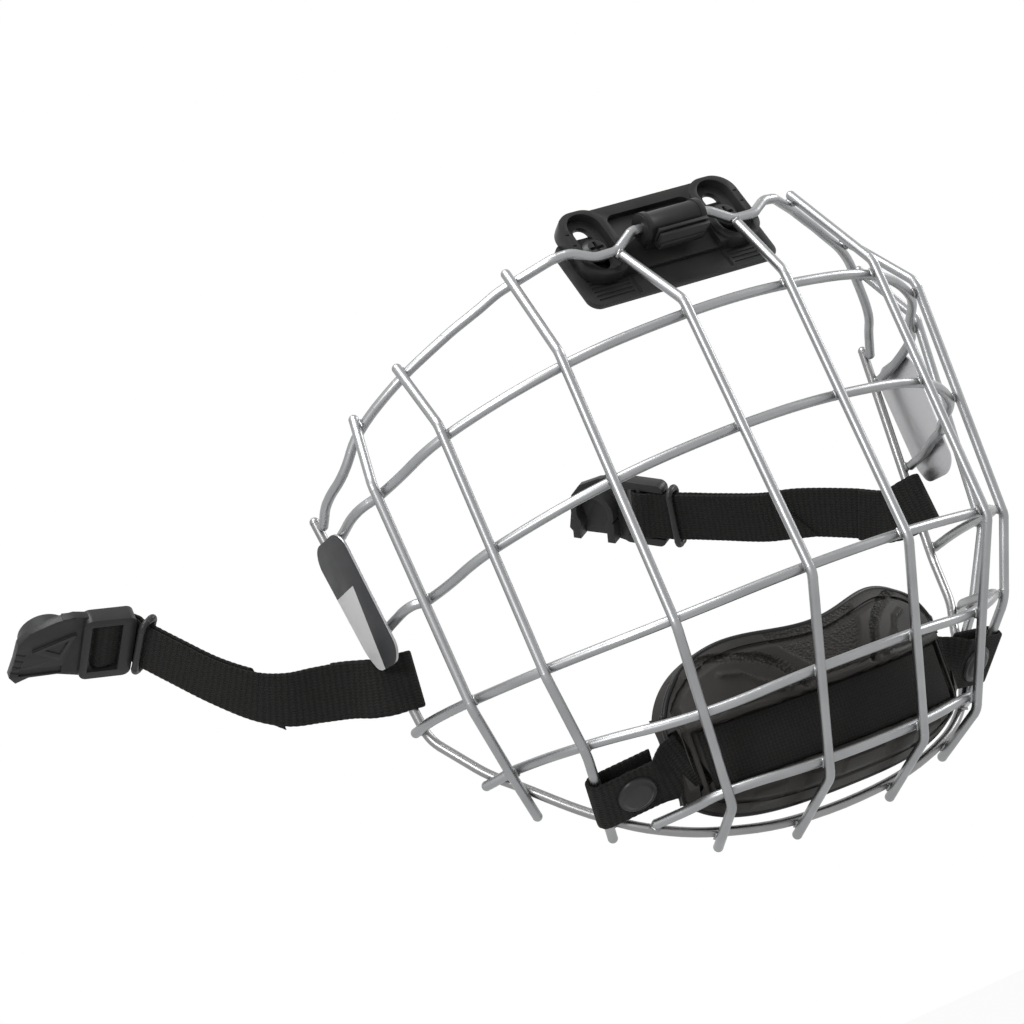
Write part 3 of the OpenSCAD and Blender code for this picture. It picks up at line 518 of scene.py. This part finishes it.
# Routes for the weld search only; the dog-legs are about 0.3 mm off the CAD's
cage = {
    "wire": 2.8, "weldGap": 0.1,
    "nuggetWide": 1.55, "nuggetDeep": 0.75, "sizeSpread": 0.12, "square": 0.22, "lump": 0.16,
    "upright": [
        [(19.67, -11.41, -4.5), (17, -24.5, -24.5), (16.5, -24.5, -105), (16.5, 8, -153.5),
         (16.5, 34.5, -162.5)],
        [(49, 0, 3), (53.5, -15, -26), (53.5, -12, -104.5), (43, 16.5, -150.5), (40, 36.5, -157.5)],
        [(78, 24, -7), (82.5, 8, -29.5), (80, 14.5, -101.5), (73.5, 23, -123.5), (63.5, 46, -144)],
        [(89.04, 37.74, -13.52), (95.5, 31, -34), (90.5, 39.5, -99), (82, 49.5, -119.5), (76, 57, -130)]],
    "crossZ": [[-27.5, -29.2, -32.6, -37], [-61.2, -62.6, -65, -67.8], [-102.6, -102.2, -99.5, -97],
               [-128.5, -127.6, -122, -118.3], [-150.3, -147.8]],
    "crossEnd": [
        [(98, 41, -37.8), (99.1, 52, -40), (98.4, 62.7, -41.6)],
        [(94.5, 41.2, -66.9), (95.9, 49.6, -67.5), (97.2, 58, -68.9), (96.1, 64.96, -69.79)],
        [(91, 50, -95.8), (93.3, 60, -95.3), (93.9, 68.6, -95.4)],
        [(84.18, 56.97, -117.08), (85.38, 59.16, -117.08)],
        [(50.2, 29, -146), (55, 36.1, -145.6)]],
    "brow": [(49.2, 3.2, 0.3), (57, 9.5, -2), (65, 16, -4.5), (78.5, 27.3, -10.2), (88, 39.6, -16.8),
             (93.2, 48, -24.5), (96.8, 57, -29), (98, 62, -33.5)],
    "dogLeg": [(13, -10.07, 1.87), (20, -9.9, -2.43), (27, -9.71, -2.49), (33, -8.5, 0.9), (38, -6.73, 1.16),
               (49.2, 3.2, 0.3)],
    "jaw": [(16.5, 32.3, -158.8), (40.5, 34, -153.6), (56, 39.5, -145.6), (66.5, 46.5, -135.5),
            (76, 54, -123.5), (85, 61.5, -111), (91, 68.5, -98.5)],
    "earTop": (98.4, 65.2, -31),
}


def mirrored(p):
    return Vector((-p[0], p[1], p[2]))


def sampledLine(points, closeness=0.4):
    points = [Vector(p) for p in points]
    out = []
    for a, b in zip(points, points[1:]):
        count = max(1, int((b - a).length / closeness))
        out += [lerp(a, b, k / count) for k in range(count)]
    return out + [points[-1]]


def onUpright(line, z):
    k = 1 if z > line[2][2] else 2 if z > line[3][2] else 3
    a, b = Vector(line[k]), Vector(line[k + 1])
    return lerp(a, b, (z - a.z) / (b.z - a.z)), unit(b - a)


def crossPoints(k):
    pitch = cage["wire"] + cage["weldGap"]
    on = [onUpright(cage["upright"][i], z) for i, z in enumerate(cage["crossZ"][k])]
    ends = [Vector(p) for p in cage["crossEnd"][k]]
    half = []
    for i, (p, d) in enumerate(on):
        before = mirrored(on[0][0]) if i == 0 else on[i - 1][0]
        after = ends[0] if i == len(on) - 1 else on[i + 1][0]
        half.append(p + pitch * unit((after - before).cross(d)))
    half += ends
    return [mirrored(p) for p in reversed(half)] + half


# Centre line of each wire as close points, in millimetres
def cageLines():
    lines = []
    for k in range(5):
        lines.append(sampledLine(refine(crossPoints(k), 8)))
    for line in cage["upright"]:
        lines.append(sampledLine(line))
        lines.append(sampledLine([mirrored(p) for p in line]))
    brow = refine([Vector(p) for p in cage["brow"]], 8)
    dogLeg = [Vector(p) for p in cage["dogLeg"]]
    jaw = [Vector(p) for p in cage["jaw"]]
    jawLine = refine([mirrored(p) for p in reversed(jaw[:-1])] + jaw[:-1], 8)
    lines.append(sampledLine(jawLine))
    for flip in (lambda p: Vector(p), mirrored):
        lines.append(sampledLine([flip(p) for p in dogLeg + brow[1:]]))
        lines.append(sampledLine([flip(p) for p in (jaw[-2], jaw[-1], cage["earTop"])]))
    return lines


weldSearch = {"reach": 3.25, "window": 12, "apart": 2.5, "parallel": 0.96, "fewest": 4}


# Places where two wires seat on each other: middle, across direction and the two wire directions
def contacts(lines):
    found = []
    trees = []
    for line in lines:
        tree = KDTree(len(line))
        for i, p in enumerate(line):
            tree.insert(p, i)
        tree.balance()
        trees.append(tree)
    for a in range(len(lines)):
        for b in range(a + 1, len(lines)):
            near = [trees[b].find(p) for p in lines[a]]
            for i, (q, j, d) in enumerate(near):
                window = near[max(0, i - weldSearch["window"]):i + weldSearch["window"] + 1]
                nearest = d < weldSearch["reach"] and d <= min(w[2] for w in window)
                if nearest and len(lines[a]) > weldSearch["fewest"]:
                    ta = unit(lines[a][min(i + 1, len(lines[a]) - 1)] - lines[a][max(0, i - 1)])
                    tb = unit(lines[b][min(j + 1, len(lines[b]) - 1)] - lines[b][max(0, j - 1)])
                    spot = (lines[a][i] + q) / 2
                    fresh = all((spot - f[0]).length > weldSearch["apart"] for f in found)
                    if fresh and abs(ta.dot(tb)) < weldSearch["parallel"]:
                        found.append((spot, q - lines[a][i], ta, tb))
    return found


def makeWelds():
    spots = contacts(cageLines())
    pickNothing()
    bpy.ops.mesh.primitive_uv_sphere_add(segments=14, ring_count=9, radius=1)
    nugget = bpy.context.object
    shape = [v.co.copy() for v in nugget.data.vertices]
    parts = []
    for n, (spot, over, ta, tb) in enumerate(spots):
        copy = bpy.data.objects.new("weld", nugget.data.copy())
        bpy.context.scene.collection.objects.link(copy)
        out = unit(over) if over.length > 0.3 else unit(ta.cross(tb))
        x = squareTo(ta + tb, out)
        y = out.cross(x)
        grow = 1 + random.uniform(-cage["sizeSpread"], cage["sizeSpread"])
        for v, p in zip(copy.data.vertices, shape):
            corner = 1 + cage["square"] * math.cos(4 * math.atan2(p.y, p.x)) * (1 - abs(p.z))
            lump = 1 + cage["lump"] * noise.noise(p * 2.3 + Vector((n * 3.1, 0, 0)))
            wide = cage["nuggetWide"] * corner * lump * grow
            v.co = (spot + x * p.x * wide + y * p.y * wide + out * p.z * cage["nuggetDeep"]) * mm
        parts.append(copy)
    bpy.data.objects.remove(nugget)
    pickNothing()
    for part in parts:
        part.select_set(True)
    bpy.context.view_layer.objects.active = parts[0]
    bpy.ops.object.join()
    welds = bpy.context.object
    welds.name = "weldNuggets"
    bpy.ops.object.shade_smooth()
    finishPiece(welds, weldMetal, "cage", "wire_steel")
    print("welds", len(spots))


wireNodes = ["brow_wire", "jaw_wire"] + ["cross_wire_%d" % k for k in range(1, 6)]
wireNodes += ["upright_%s_%d" % (s, k) for s in ("right", "left") for k in range(1, 5)]
for node in wireNodes:
    paintMesh(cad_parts[node].data, jawSteel if node == "jaw_wire" else satinWire)
makeWelds()
print("cage dressed")


# Hinge plate, pad, barrel and screws

rounding = {
    "plate": 0.35, "barrel": 0.3, "pad": 0.25, "screws": 0.22, "caps": 0.18, "buckle": 0.3,
    "label": 0.16, "labelCorner": 2.2,
}

finishPiece(softCopy("hinge_plate", "hingePlate", rounding["plate"]), blackNylon, "forehead_hinge",
            "plate_plastic", "hinge_plate")
finishPiece(softCopy("hinge_barrel", "hingeBarrel", rounding["barrel"]), blackNylon, "forehead_hinge",
            "plate_plastic", "hinge_barrel")
finishPiece(softCopy("forehead_pad", "foreheadPad", rounding["pad"]), padRubber, "helmet_side",
            "pad_rubber", "forehead_pad")
finishPiece(softCopy("face_screws", "helmetScrews", rounding["screws"]), capEnamel, "helmet_side",
            "screw_black", "face_screws")
print("hinge dressed")


# Label plates, left bare

# The strip starts at a slanted line, in millimetres, and ends at a height, in metres
labelFilmLook = {
    "slant": 0.208, "stripAt": 44.0, "stripTop": -0.0535,
    "ink": (0.02, 0.0205, 0.022), "pale": (0.4, 0.4, 0.4),
}


def labelFinish(name, painted):
    sheet = Finish(name, (0.45, 0.45, 0.46), 0.36, metallic=1.0)
    brushed = sheet.noise(300, 3, 0.6, stretch=(1, 1, 12))
    sheet.setRoughness(sheet.spread(brushed, 0.3, 0.46))
    sheet.bump(brushed, 0.02, 0.3)
    if painted:
        split = sheet.nodes.new("ShaderNodeSeparateXYZ")
        sheet.links.new(sheet.coords.outputs["Object"], split.inputs[0])
        y, z = split.outputs["Y"], split.outputs["Z"]
        yPart = sheet.math("MULTIPLY", y, 1 / mm)
        zPart = sheet.math("MULTIPLY", z, labelFilmLook["slant"] / mm)
        strip = sheet.math("GREATER_THAN", sheet.math("ADD", yPart, zPart), labelFilmLook["stripAt"])
        low = sheet.math("LESS_THAN", z, labelFilmLook["stripTop"])
        pale = sheet.math("MULTIPLY", strip, low)
        cloud = sheet.spread(sheet.noise(200, 3), 0.85, 1.15)
        sheet.setColor(sheet.blend(pale, labelFilmLook["ink"], labelFilmLook["pale"]))
        sheet.shader.inputs["Metallic"].default_value = 0.0
        sheet.shader.inputs["Specular IOR Level"].default_value = 0.3
        sheet.setRoughness(sheet.spread(cloud, 0.42, 0.52, 0.85, 1.15))
    return sheet.material


bareSheet = labelFinish("bareSheet", False)
labelFilm = labelFinish("labelFilm", True)
for side, sign in (("right", -1), ("left", 1)):
    sheet = softCopy("label_plate_" + side, "labelPlate" + side.capitalize(), rounding["label"],
                     corners=rounding["labelCorner"])
    plate = finishPiece(sheet, bareSheet, "cage", "label_steel", "label_plate_" + side)
    plate.data.materials.append(labelFilm)
    for face in plate.data.polygons:
        face.material_index = 1 if face.normal.x * sign > 0.8 else 0
print("label plates dressed")


# Side straps

strap = {
    "loop": 2.35, "fold": 2.25, "layer": 0.75, "loopBack": 2.4, "loopFlat": 5.0,
    "sewn": 19.0, "free": 46.0, "steps": 10, "endCut": -12,
    "root": (92.9185, 67.6444, -81), "ear": (0.108848, -0.0485404, 0.992873),
    "wayRight": [(97.2, 70.5, -80.1), (104.3, 74.8, -76.9), (112, 77.8, -74.7), (120, 80, -72.7),
                 (126.6, 84.2, -68), (133.8, 89.2, -59.6), (140.8, 93.7, -49.6), (145.7, 97.3, -42),
                 (147.6, 98.7, -38.6), (151.2, 99, -37.7), (156.1, 99.4, -36.6)],
    "wayLeft": [(87.8, 74.5, -80.8), (81.4, 83.4, -74.6), (72.9, 95.3, -67.2), (66.1, 104.6, -62.9),
                (58.7, 114.9, -56.5), (54, 121.6, -52.2), (49.4, 128.3, -48), (44.8, 134.5, -43)],
    "tiltRight": [0, 17, 20, 27, 36, 48, 59, 61, 61, 61, 61, 61],
    "tiltLeft": [0, 17, 27, 36, 43, 51, 52, 52, 52],
}


# The whole strap as one run, as in the CAD: sewn end, ear loop, main run, bar fold, free end
def strapRun(way, tilt):
    p = refine([Vector(strap["root"])] + [Vector(q) for q in way], strap["steps"])
    d = refine(tilt, strap["steps"])
    t = tangents(p)
    s = lengths(p)
    n, total = len(p), s[-1]
    ear = Vector(strap["ear"])
    a = []
    for i in range(n):
        free = Vector((0, -math.sin(math.radians(d[i])), math.cos(math.radians(d[i]))))
        a.append(squareTo(lerp(ear, free, smooth((s[i] - strap["loopFlat"]) / 6)), t[i]))
    b = [t[i].cross(a[i]) for i in range(n)]

    def apart(x):
        return max(lerp(strap["loop"], strap["layer"], smooth((x - strap["loopFlat"]) / 8)),
                   lerp(strap["layer"], strap["fold"], smooth((x - total + 6) / 6)))

    run, wide = [], []

    def put(q, w):
        run.append(q)
        wide.append(w)

    for i in range(n - 1, 0, -1):
        if s[i] < strap["sewn"]:
            put(p[i] - b[i] * apart(s[i]), a[i])
    put(p[0] - b[0] * strap["loop"], a[0])
    for g in halfTurn:
        put(p[0] - t[0] * strap["loopBack"] + strap["loop"] * (b[0] * math.sin(g) - t[0] * math.cos(g)), a[0])
    put(p[0] + b[0] * strap["loop"], a[0])
    for i in range(1, n - 1):
        put(p[i] + b[i] * apart(s[i]), a[i])
    z = n - 1
    for g in halfTurn:
        put(p[z] + strap["fold"] * (t[z] * math.cos(g) - b[z] * math.sin(g)), a[z])
    for i in range(n - 2, -1, -1):
        if s[i] > total - strap["free"]:
            put(p[i] - b[i] * apart(s[i]), a[i])
    return run, wide


for side, flip in (("Right", mirrored), ("Left", Vector)):
    low = side.lower()
    run, wide = strapRun(strap["way" + side], strap["tilt" + side])
    band = makeWebbing("sideStrap" + side, [flip(q) for q in run], [flip(q) for q in wide],
                       endCut=strap["endCut"])
    finishPiece(band, coarseWeave, "strap_" + low, "webbing", "side_strap_" + low)
    paintMesh(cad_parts["keeper_" + low].data, ringRubber)
    buckle = softCopy("buckle_" + low, "snapBuckle" + side, rounding["buckle"])
    finishPiece(buckle, buckleNylon, "clip_" + low, "buckle_plastic", "buckle_" + low)
print("side straps made")


# Webbing and snaps that hold the chin cup

cup = {
    "at": (0, 7, -138.7), "lean": 10.0, "halfW": 47.5, "radius": 70.0, "thick": 8.0,
    "sideShare": 0.55, "tipShare": 0.985, "welt": 0.85, "weltInset": 0.1, "weltSteps": 90,
    "channel": 2.0, "channelHalf": 8.4, "channelAngle": 38.0, "bandAngle": 37, "bandLift": 0.1,
    "columns": 220, "rows": 110,
}
cupFrame = Matrix.Translation(Vector(cup["at"])) @ Matrix.Rotation(math.radians(cup["lean"]), 4, "X")
snap = {
    "loop": 2.35, "flat": 15.29, "flapLen": 17.0, "hinge": 0.95, "rootZ": -134.8,
    "slotAt": (46.4, 26.588, -133.6), "slotInset": (-2.6, -2.2, 0), "slotDeeper": 1.5,
    "slotWidth": 17.6, "slotThick": 3.7,
}

lowWire = [Vector(p) for p in cage["upright"][2]]
cupDir = unit(lowWire[4] - lowWire[3])
cupRoot = lerp(lowWire[3], lowWire[4], (snap["rootZ"] - lowWire[3].z) / (lowWire[4].z - lowWire[3].z))
cupIn = squareTo(Vector(snap["slotAt"]) - cupRoot, cupDir)
cupOut = cupIn.cross(cupDir)
slotSpot = Vector(snap["slotAt"]) + Vector(snap["slotInset"])
slotWide = Vector((0, -math.sin(math.radians(cup["lean"])), math.cos(math.radians(cup["lean"]))))


def cupStrapRun():
    run, wide = [], []
    for g in halfTurn:
        run.append(cupRoot + snap["loop"] * (cupOut * math.sin(g) - cupIn * math.cos(g)))
        wide.append(-cupDir)
    top = cupRoot + cupOut * snap["loop"]
    bend = top + cupIn * (snap["flat"] + 2.5)
    way = [bend - cupIn * 2.5, bend - cupIn * 0.9]
    way += [lerp(bend, slotSpot, u) for u in (0.3, 0.62)] + [slotSpot]
    dirs = [lerp(-cupDir, slotWide, k) for k in (0, 0.08, 0.6, 1, 1)]
    return run + refine(way, 8), wide + refine(dirs, 8)


for side, flip in (("Right", mirrored), ("Left", Vector)):
    low = side.lower()
    run, wide = cupStrapRun()
    band = makeWebbing("cupStrap" + side, [flip(q) for q in run], [flip(q) for q in wide])
    finishPiece(band, coarseWeave, "cage", "webbing", "cup_strap_" + low)
    base = cupRoot - cupOut * snap["loop"]
    flapRun = [flip(base + cupIn * lerp(snap["hinge"] - 0.5, snap["flapLen"], k / 12)) for k in range(13)]
    flap = makeWebbing("snapFlap" + side, flapRun, [flip(-cupDir)] * 13)
    finishPiece(flap, coarseWeave, "flap_" + low, "webbing", "snap_flap_" + low)
    finishPiece(softCopy("snap_cap_" + low, "snapCap" + side, rounding["caps"]), capEnamel, "cage",
                "snap_black", "snap_cap_" + low)
    paintMesh(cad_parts["snap_socket_" + low].data, weldMetal)
print("cup straps made")


# Chin cup

cupRelief = {
    "band": [(36, 25.8), (31, 25.3), (26, 23.8), (20.5, 21.6), (16.6, 18.4), (13.8, 13.8), (11.6, 10.6)],
    "rib": [(31.5, 20.4), (27, 19.2), (24, 15.8), (19.8, 13.2), (17.2, 11.2)],
    "wedge": [(15.6, 30), (14.6, 24.2), (12.3, 20.3), (8.2, 15.4), (5.4, 11)],
    "deep": {"wedge": 0.9, "band": 1.5, "rib": 1.3, "brow": 0.9, "lip": 0.8, "bars": 0.55, "seam": 0.9},
}


def bow(x):
    return cup["radius"] - math.sqrt(max(0, cup["radius"] ** 2 - x * x))


# The face is straight beside the channel and leans back above and below it
def leanBack(z):
    if z > 8:
        return 7 * ((z - 8) / 20) ** 1.5
    if z < -8:
        return 15.4 * ((-8 - z) / 14) ** 1.6
    return 0


def topEdge(t):
    return 12 + (13.5 + 3.5 * math.sin(math.pi / 2 * min(1, t / 0.62)) ** 2) * (1 - t ** 5) ** 0.7


def lowEdge(t):
    return -8 - 11.5 * (1 - t ** 3.4) ** 0.65


def toLine(x, z, line):
    best = 99.0
    for (ax, az), (bx, bz) in zip(line, line[1:]):
        dx, dz = bx - ax, bz - az
        u = min(1, max(0, ((x - ax) * dx + (z - az) * dz) / (dx * dx + dz * dz)))
        best = min(best, math.hypot(x - ax - u * dx, z - az - u * dz))
    return best


def insideWedge(x, z):
    line = cupRelief["wedge"]
    if z > line[0][1] or z < line[-1][1]:
        return 0.0
    for (ax, az), (bx, bz) in zip(line, line[1:]):
        if bz <= z <= az:
            edge = ax + (bx - ax) * (az - z) / (az - bz)
            return smooth((edge - x) / 0.8 + 0.5)
    return 0.0


# Moulded detail of the cup's face, in millimetres out of the face; rim is the distance to the outline
def relief(x, z, rim):
    x = abs(x)
    deep = cupRelief["deep"]
    out = 0.0
    out -= deep["wedge"] * insideWedge(x, z)
    out -= deep["band"] * smooth((1.35 - toLine(x, z, cupRelief["band"])) / 0.5)
    out += deep["rib"] * smooth((0.95 - toLine(x, z, cupRelief["rib"])) / 0.7)
    if z > 10.5:
        out += deep["brow"] * smooth((z - 10.5) / 1.4) * smooth((rim - 3.2) / 1.2)
    lip = min(abs(z - 9.7), abs(z + 9.7))
    if x < 45:
        out += deep["lip"] * smooth((1.3 - lip) / 0.7)
    if z < -11:
        bar = abs((x - 9) % 13 - 6.5) - 4.6
        out += deep["bars"] * smooth(-bar / 0.5) * smooth((2.3 - abs(z + 14.4)) / 0.6)
    out -= deep["seam"] * smooth((0.6 - abs(rim - 2.9)) / 0.4)
    return out


# How far a spot of the face is pressed in and textured, from 0 to 1
def pressed(x, z):
    x = abs(x)
    band = smooth((1.5 - toLine(x, z, cupRelief["band"])) / 0.4)
    return max(insideWedge(x, z), band)


# 0 along the cup's low edge, which stays thin beside the lowest cross wire, and 1 above it
def aboveLowEdge(z):
    return smooth((z + 8.5) / 2.5)


# Share of the cup's half thickness kept at its front corner; the sides stand full, over the webbing's slots
def frontShareAt(x, z):
    return lerp(cup["sideShare"], 1.1, smooth((abs(x) - 36) / 7) * aboveLowEdge(z))


def cupShell(name, margin, y0, y1, sideShare, columns, rows, detailed):
    pickNothing()
    bpy.ops.mesh.primitive_grid_add(x_subdivisions=columns, y_subdivisions=rows, size=1)
    shell = bpy.context.object
    shell.name = name
    w = cup["halfW"] - margin
    middle, half = (y0 + y1) / 2, (y1 - y0) / 2
    backAt, spots = [], KDTree((columns + 1) * (rows + 1))
    texture = [0.0] * len(shell.data.vertices)
    channelX = cup["radius"] * math.sin(math.radians(cup["channelAngle"]))
    for v in shell.data.vertices:
        x = w * math.sin(math.pi * v.co.x)
        vv = v.co.y + 0.5
        share = (1 - math.cos(math.pi * vv)) / 2
        t = min(cup["tipShare"], abs(x) / w)
        low, high = lowEdge(t) + margin, topEdge(t) - margin
        z = lerp(low, high, share)
        e = min(1, (1 - abs(x) / w) / 0.16)
        g = min(1, (0.5 - abs(share - 0.5)) / 0.16)
        q = math.sqrt(1 - (1 - min(e, g)) ** 2)
        puff = half * lerp(sideShare, 1, q)
        base = bow(x) + leanBack(z) + middle
        frontShare = frontShareAt(x, z) if detailed else sideShare
        front = base - half * lerp(frontShare, 1, q)
        if detailed:
            rim = min(w - abs(x), (high - z) * 0.95, (z - low) * 0.95)
            front -= relief(x, z, rim) * min(1, rim / 1.5)
            inHeight = smooth((cup["channelHalf"] - abs(z)) / 0.3 + 0.5)
            inChannel = inHeight * smooth((channelX - abs(x)) / 0.35 + 0.5)
            floor = bow(x) + cup["channel"] + 0.35 * smooth((abs(x) - 40) / 1.5)
            front = lerp(front, floor, inChannel)
            texture[v.index] = pressed(x, z) * (1 - inChannel)
        v.co = Vector((x, front, z))
        backAt.append(base + puff)
        spots.insert(v.co, v.index)
    spots.balance()
    shell.data.attributes.new("pressed", "FLOAT", "POINT").data.foreach_set("value", texture)
    bpy.ops.object.mode_set(mode="EDIT")
    bpy.ops.mesh.select_all(action="SELECT")
    bpy.ops.mesh.extrude_region_move(TRANSFORM_OT_translate={"value": (0, 0, 0)})
    bpy.ops.object.mode_set(mode="OBJECT")
    for v in shell.data.vertices:
        if v.select:
            v.co.y = backAt[spots.find(v.co)[1]]
    shell.data.transform(Matrix.Scale(mm, 4) @ cupFrame)
    bpy.ops.object.mode_set(mode="EDIT")
    bpy.ops.mesh.select_all(action="SELECT")
    bpy.ops.mesh.normals_make_consistent(inside=False)
    bpy.ops.object.mode_set(mode="OBJECT")
    bpy.ops.object.shade_smooth_by_angle(angle=math.radians(50))
    return shell


foamLook = {"color": (0.016, 0.0148, 0.0135), "piping": (0.006, 0.006, 0.006)}


def foamFinish(name):
    foam = Finish(name, foamLook["color"], 0.5, specular=0.14)
    grain = foam.noise(1600, 3, 0.6)
    cloud = foam.noise(45, 3)
    paler = tuple(c * 1.3 for c in foamLook["color"])
    foam.setColor(foam.blend(foam.spread(cloud, 0, 1), foamLook["color"], paler))
    foam.setRoughness(foam.spread(cloud, 0.45, 0.6))
    foam.bump(grain, 0.05, 0.6)
    mask = foam.nodes.new("ShaderNodeAttribute")
    mask.attribute_name = "pressed"
    scales = foam.nodes.new("ShaderNodeTexVoronoi")
    scales.inputs["Scale"].default_value = 900
    foam.links.new(foam.mapped("Object", (1, 1, 1.6), (0, 0, 0.3)), scales.inputs["Vector"])
    foam.bump(foam.math("MULTIPLY", scales.outputs["Distance"], mask.outputs["Fac"]), 0.45, 1.0)
    return foam.material


cupFoam = foamFinish("cupFoam")
weltRubber = mouldedFinish("weltRubber", foamLook["piping"], 0.4, 900, 0.02)
linerCloth = mouldedFinish("linerCloth", (0.012, 0.012, 0.0125), 0.8, 2200, 0.12)


# Slots through the cup's sides, that the webbing from the cage runs into
def cutSlots(shell):
    run, wide = cupStrapRun()
    deeper = slotSpot + unit(run[-1] - run[-2]) * snap["slotDeeper"]
    run, wide = run[-12:] + [deeper], wide[-12:] + [wide[-1]]
    for flip in (Vector, mirrored):
        cutter = makeWebbing("slotCutter", [flip(q) for q in run], [flip(q) for q in wide], ribLift=0,
                             width=snap["slotWidth"], thick=snap["slotThick"])
        cut = shell.modifiers.new("strapSlot", "BOOLEAN")
        cut.object = cutter
        cut.operation = "DIFFERENCE"
        cut.solver = "EXACT"
        pickOnly(shell)
        bpy.ops.object.modifier_apply(modifier=cut.name)
        bpy.data.objects.remove(cutter)


# Round welt along the cup's outline, at the front corner of its side
def makeWelt():
    w = cup["halfW"] - cup["weltInset"]
    count = cup["weltSteps"]
    half = cup["thick"] / 2
    outline = []
    for row in (topEdge, lowEdge):
        xs = [w * math.sin(math.pi * (k / count - 0.5)) for k in range(count + 1)]
        ordered = xs if row is topEdge else reversed(xs)
        outline += [(x, row(min(cup["tipShare"], abs(x) / w))) for x in ordered]
    points = []
    for x, z in outline:
        back = lerp(1.6, 0.35, aboveLowEdge(z))
        y = bow(x) + leanBack(z) + half - half * frontShareAt(x, z) + back
        points.append(cupFrame @ Vector((x, y, z)))
    return makeTube("cupWelt", points, cup["welt"])


shell = cupShell("chinCup", 0, 0, cup["thick"], cup["sideShare"], cup["columns"], cup["rows"], True)
cutSlots(shell)
pickOnly(shell)
bpy.ops.object.shade_smooth_by_angle(angle=math.radians(50))
finishPiece(shell, cupFoam, "chin", "cup_foam", "chin_cup")
welt = finishPiece(makeWelt(), weltRubber, "chin", "cup_foam")
linerSize = {"margin": 7, "front": 0.3, "back": 4.3, "sideShare": 0.4, "columns": 70, "rows": 40}
liner = cupShell("chinLiner", linerSize["margin"], cup["thick"] + linerSize["front"],
                 cup["thick"] + linerSize["back"], linerSize["sideShare"], linerSize["columns"],
                 linerSize["rows"], False)
finishPiece(liner, linerCloth, "chin", "liner_cloth", "chin_liner")

bandRadius = cup["radius"] - cup["channel"] + cup["bandLift"] + webbing["thick"] / 2
bandRun = []
for angle in range(-cup["bandAngle"], cup["bandAngle"] + 1):
    g = math.radians(angle)
    bandRun.append(cupFrame @ Vector((bandRadius * math.sin(g), cup["radius"] - bandRadius * math.cos(g), 0)))
chinBand = makeWebbing("chinBand", bandRun, [slotWide] * len(bandRun), rib=webbingLook["fine"][0],
                       ribLift=0.07)
finishPiece(chinBand, fineWeave, "chin", "webbing", "chin_webbing")
print("chin cup made")

bpy.context.view_layer.update()
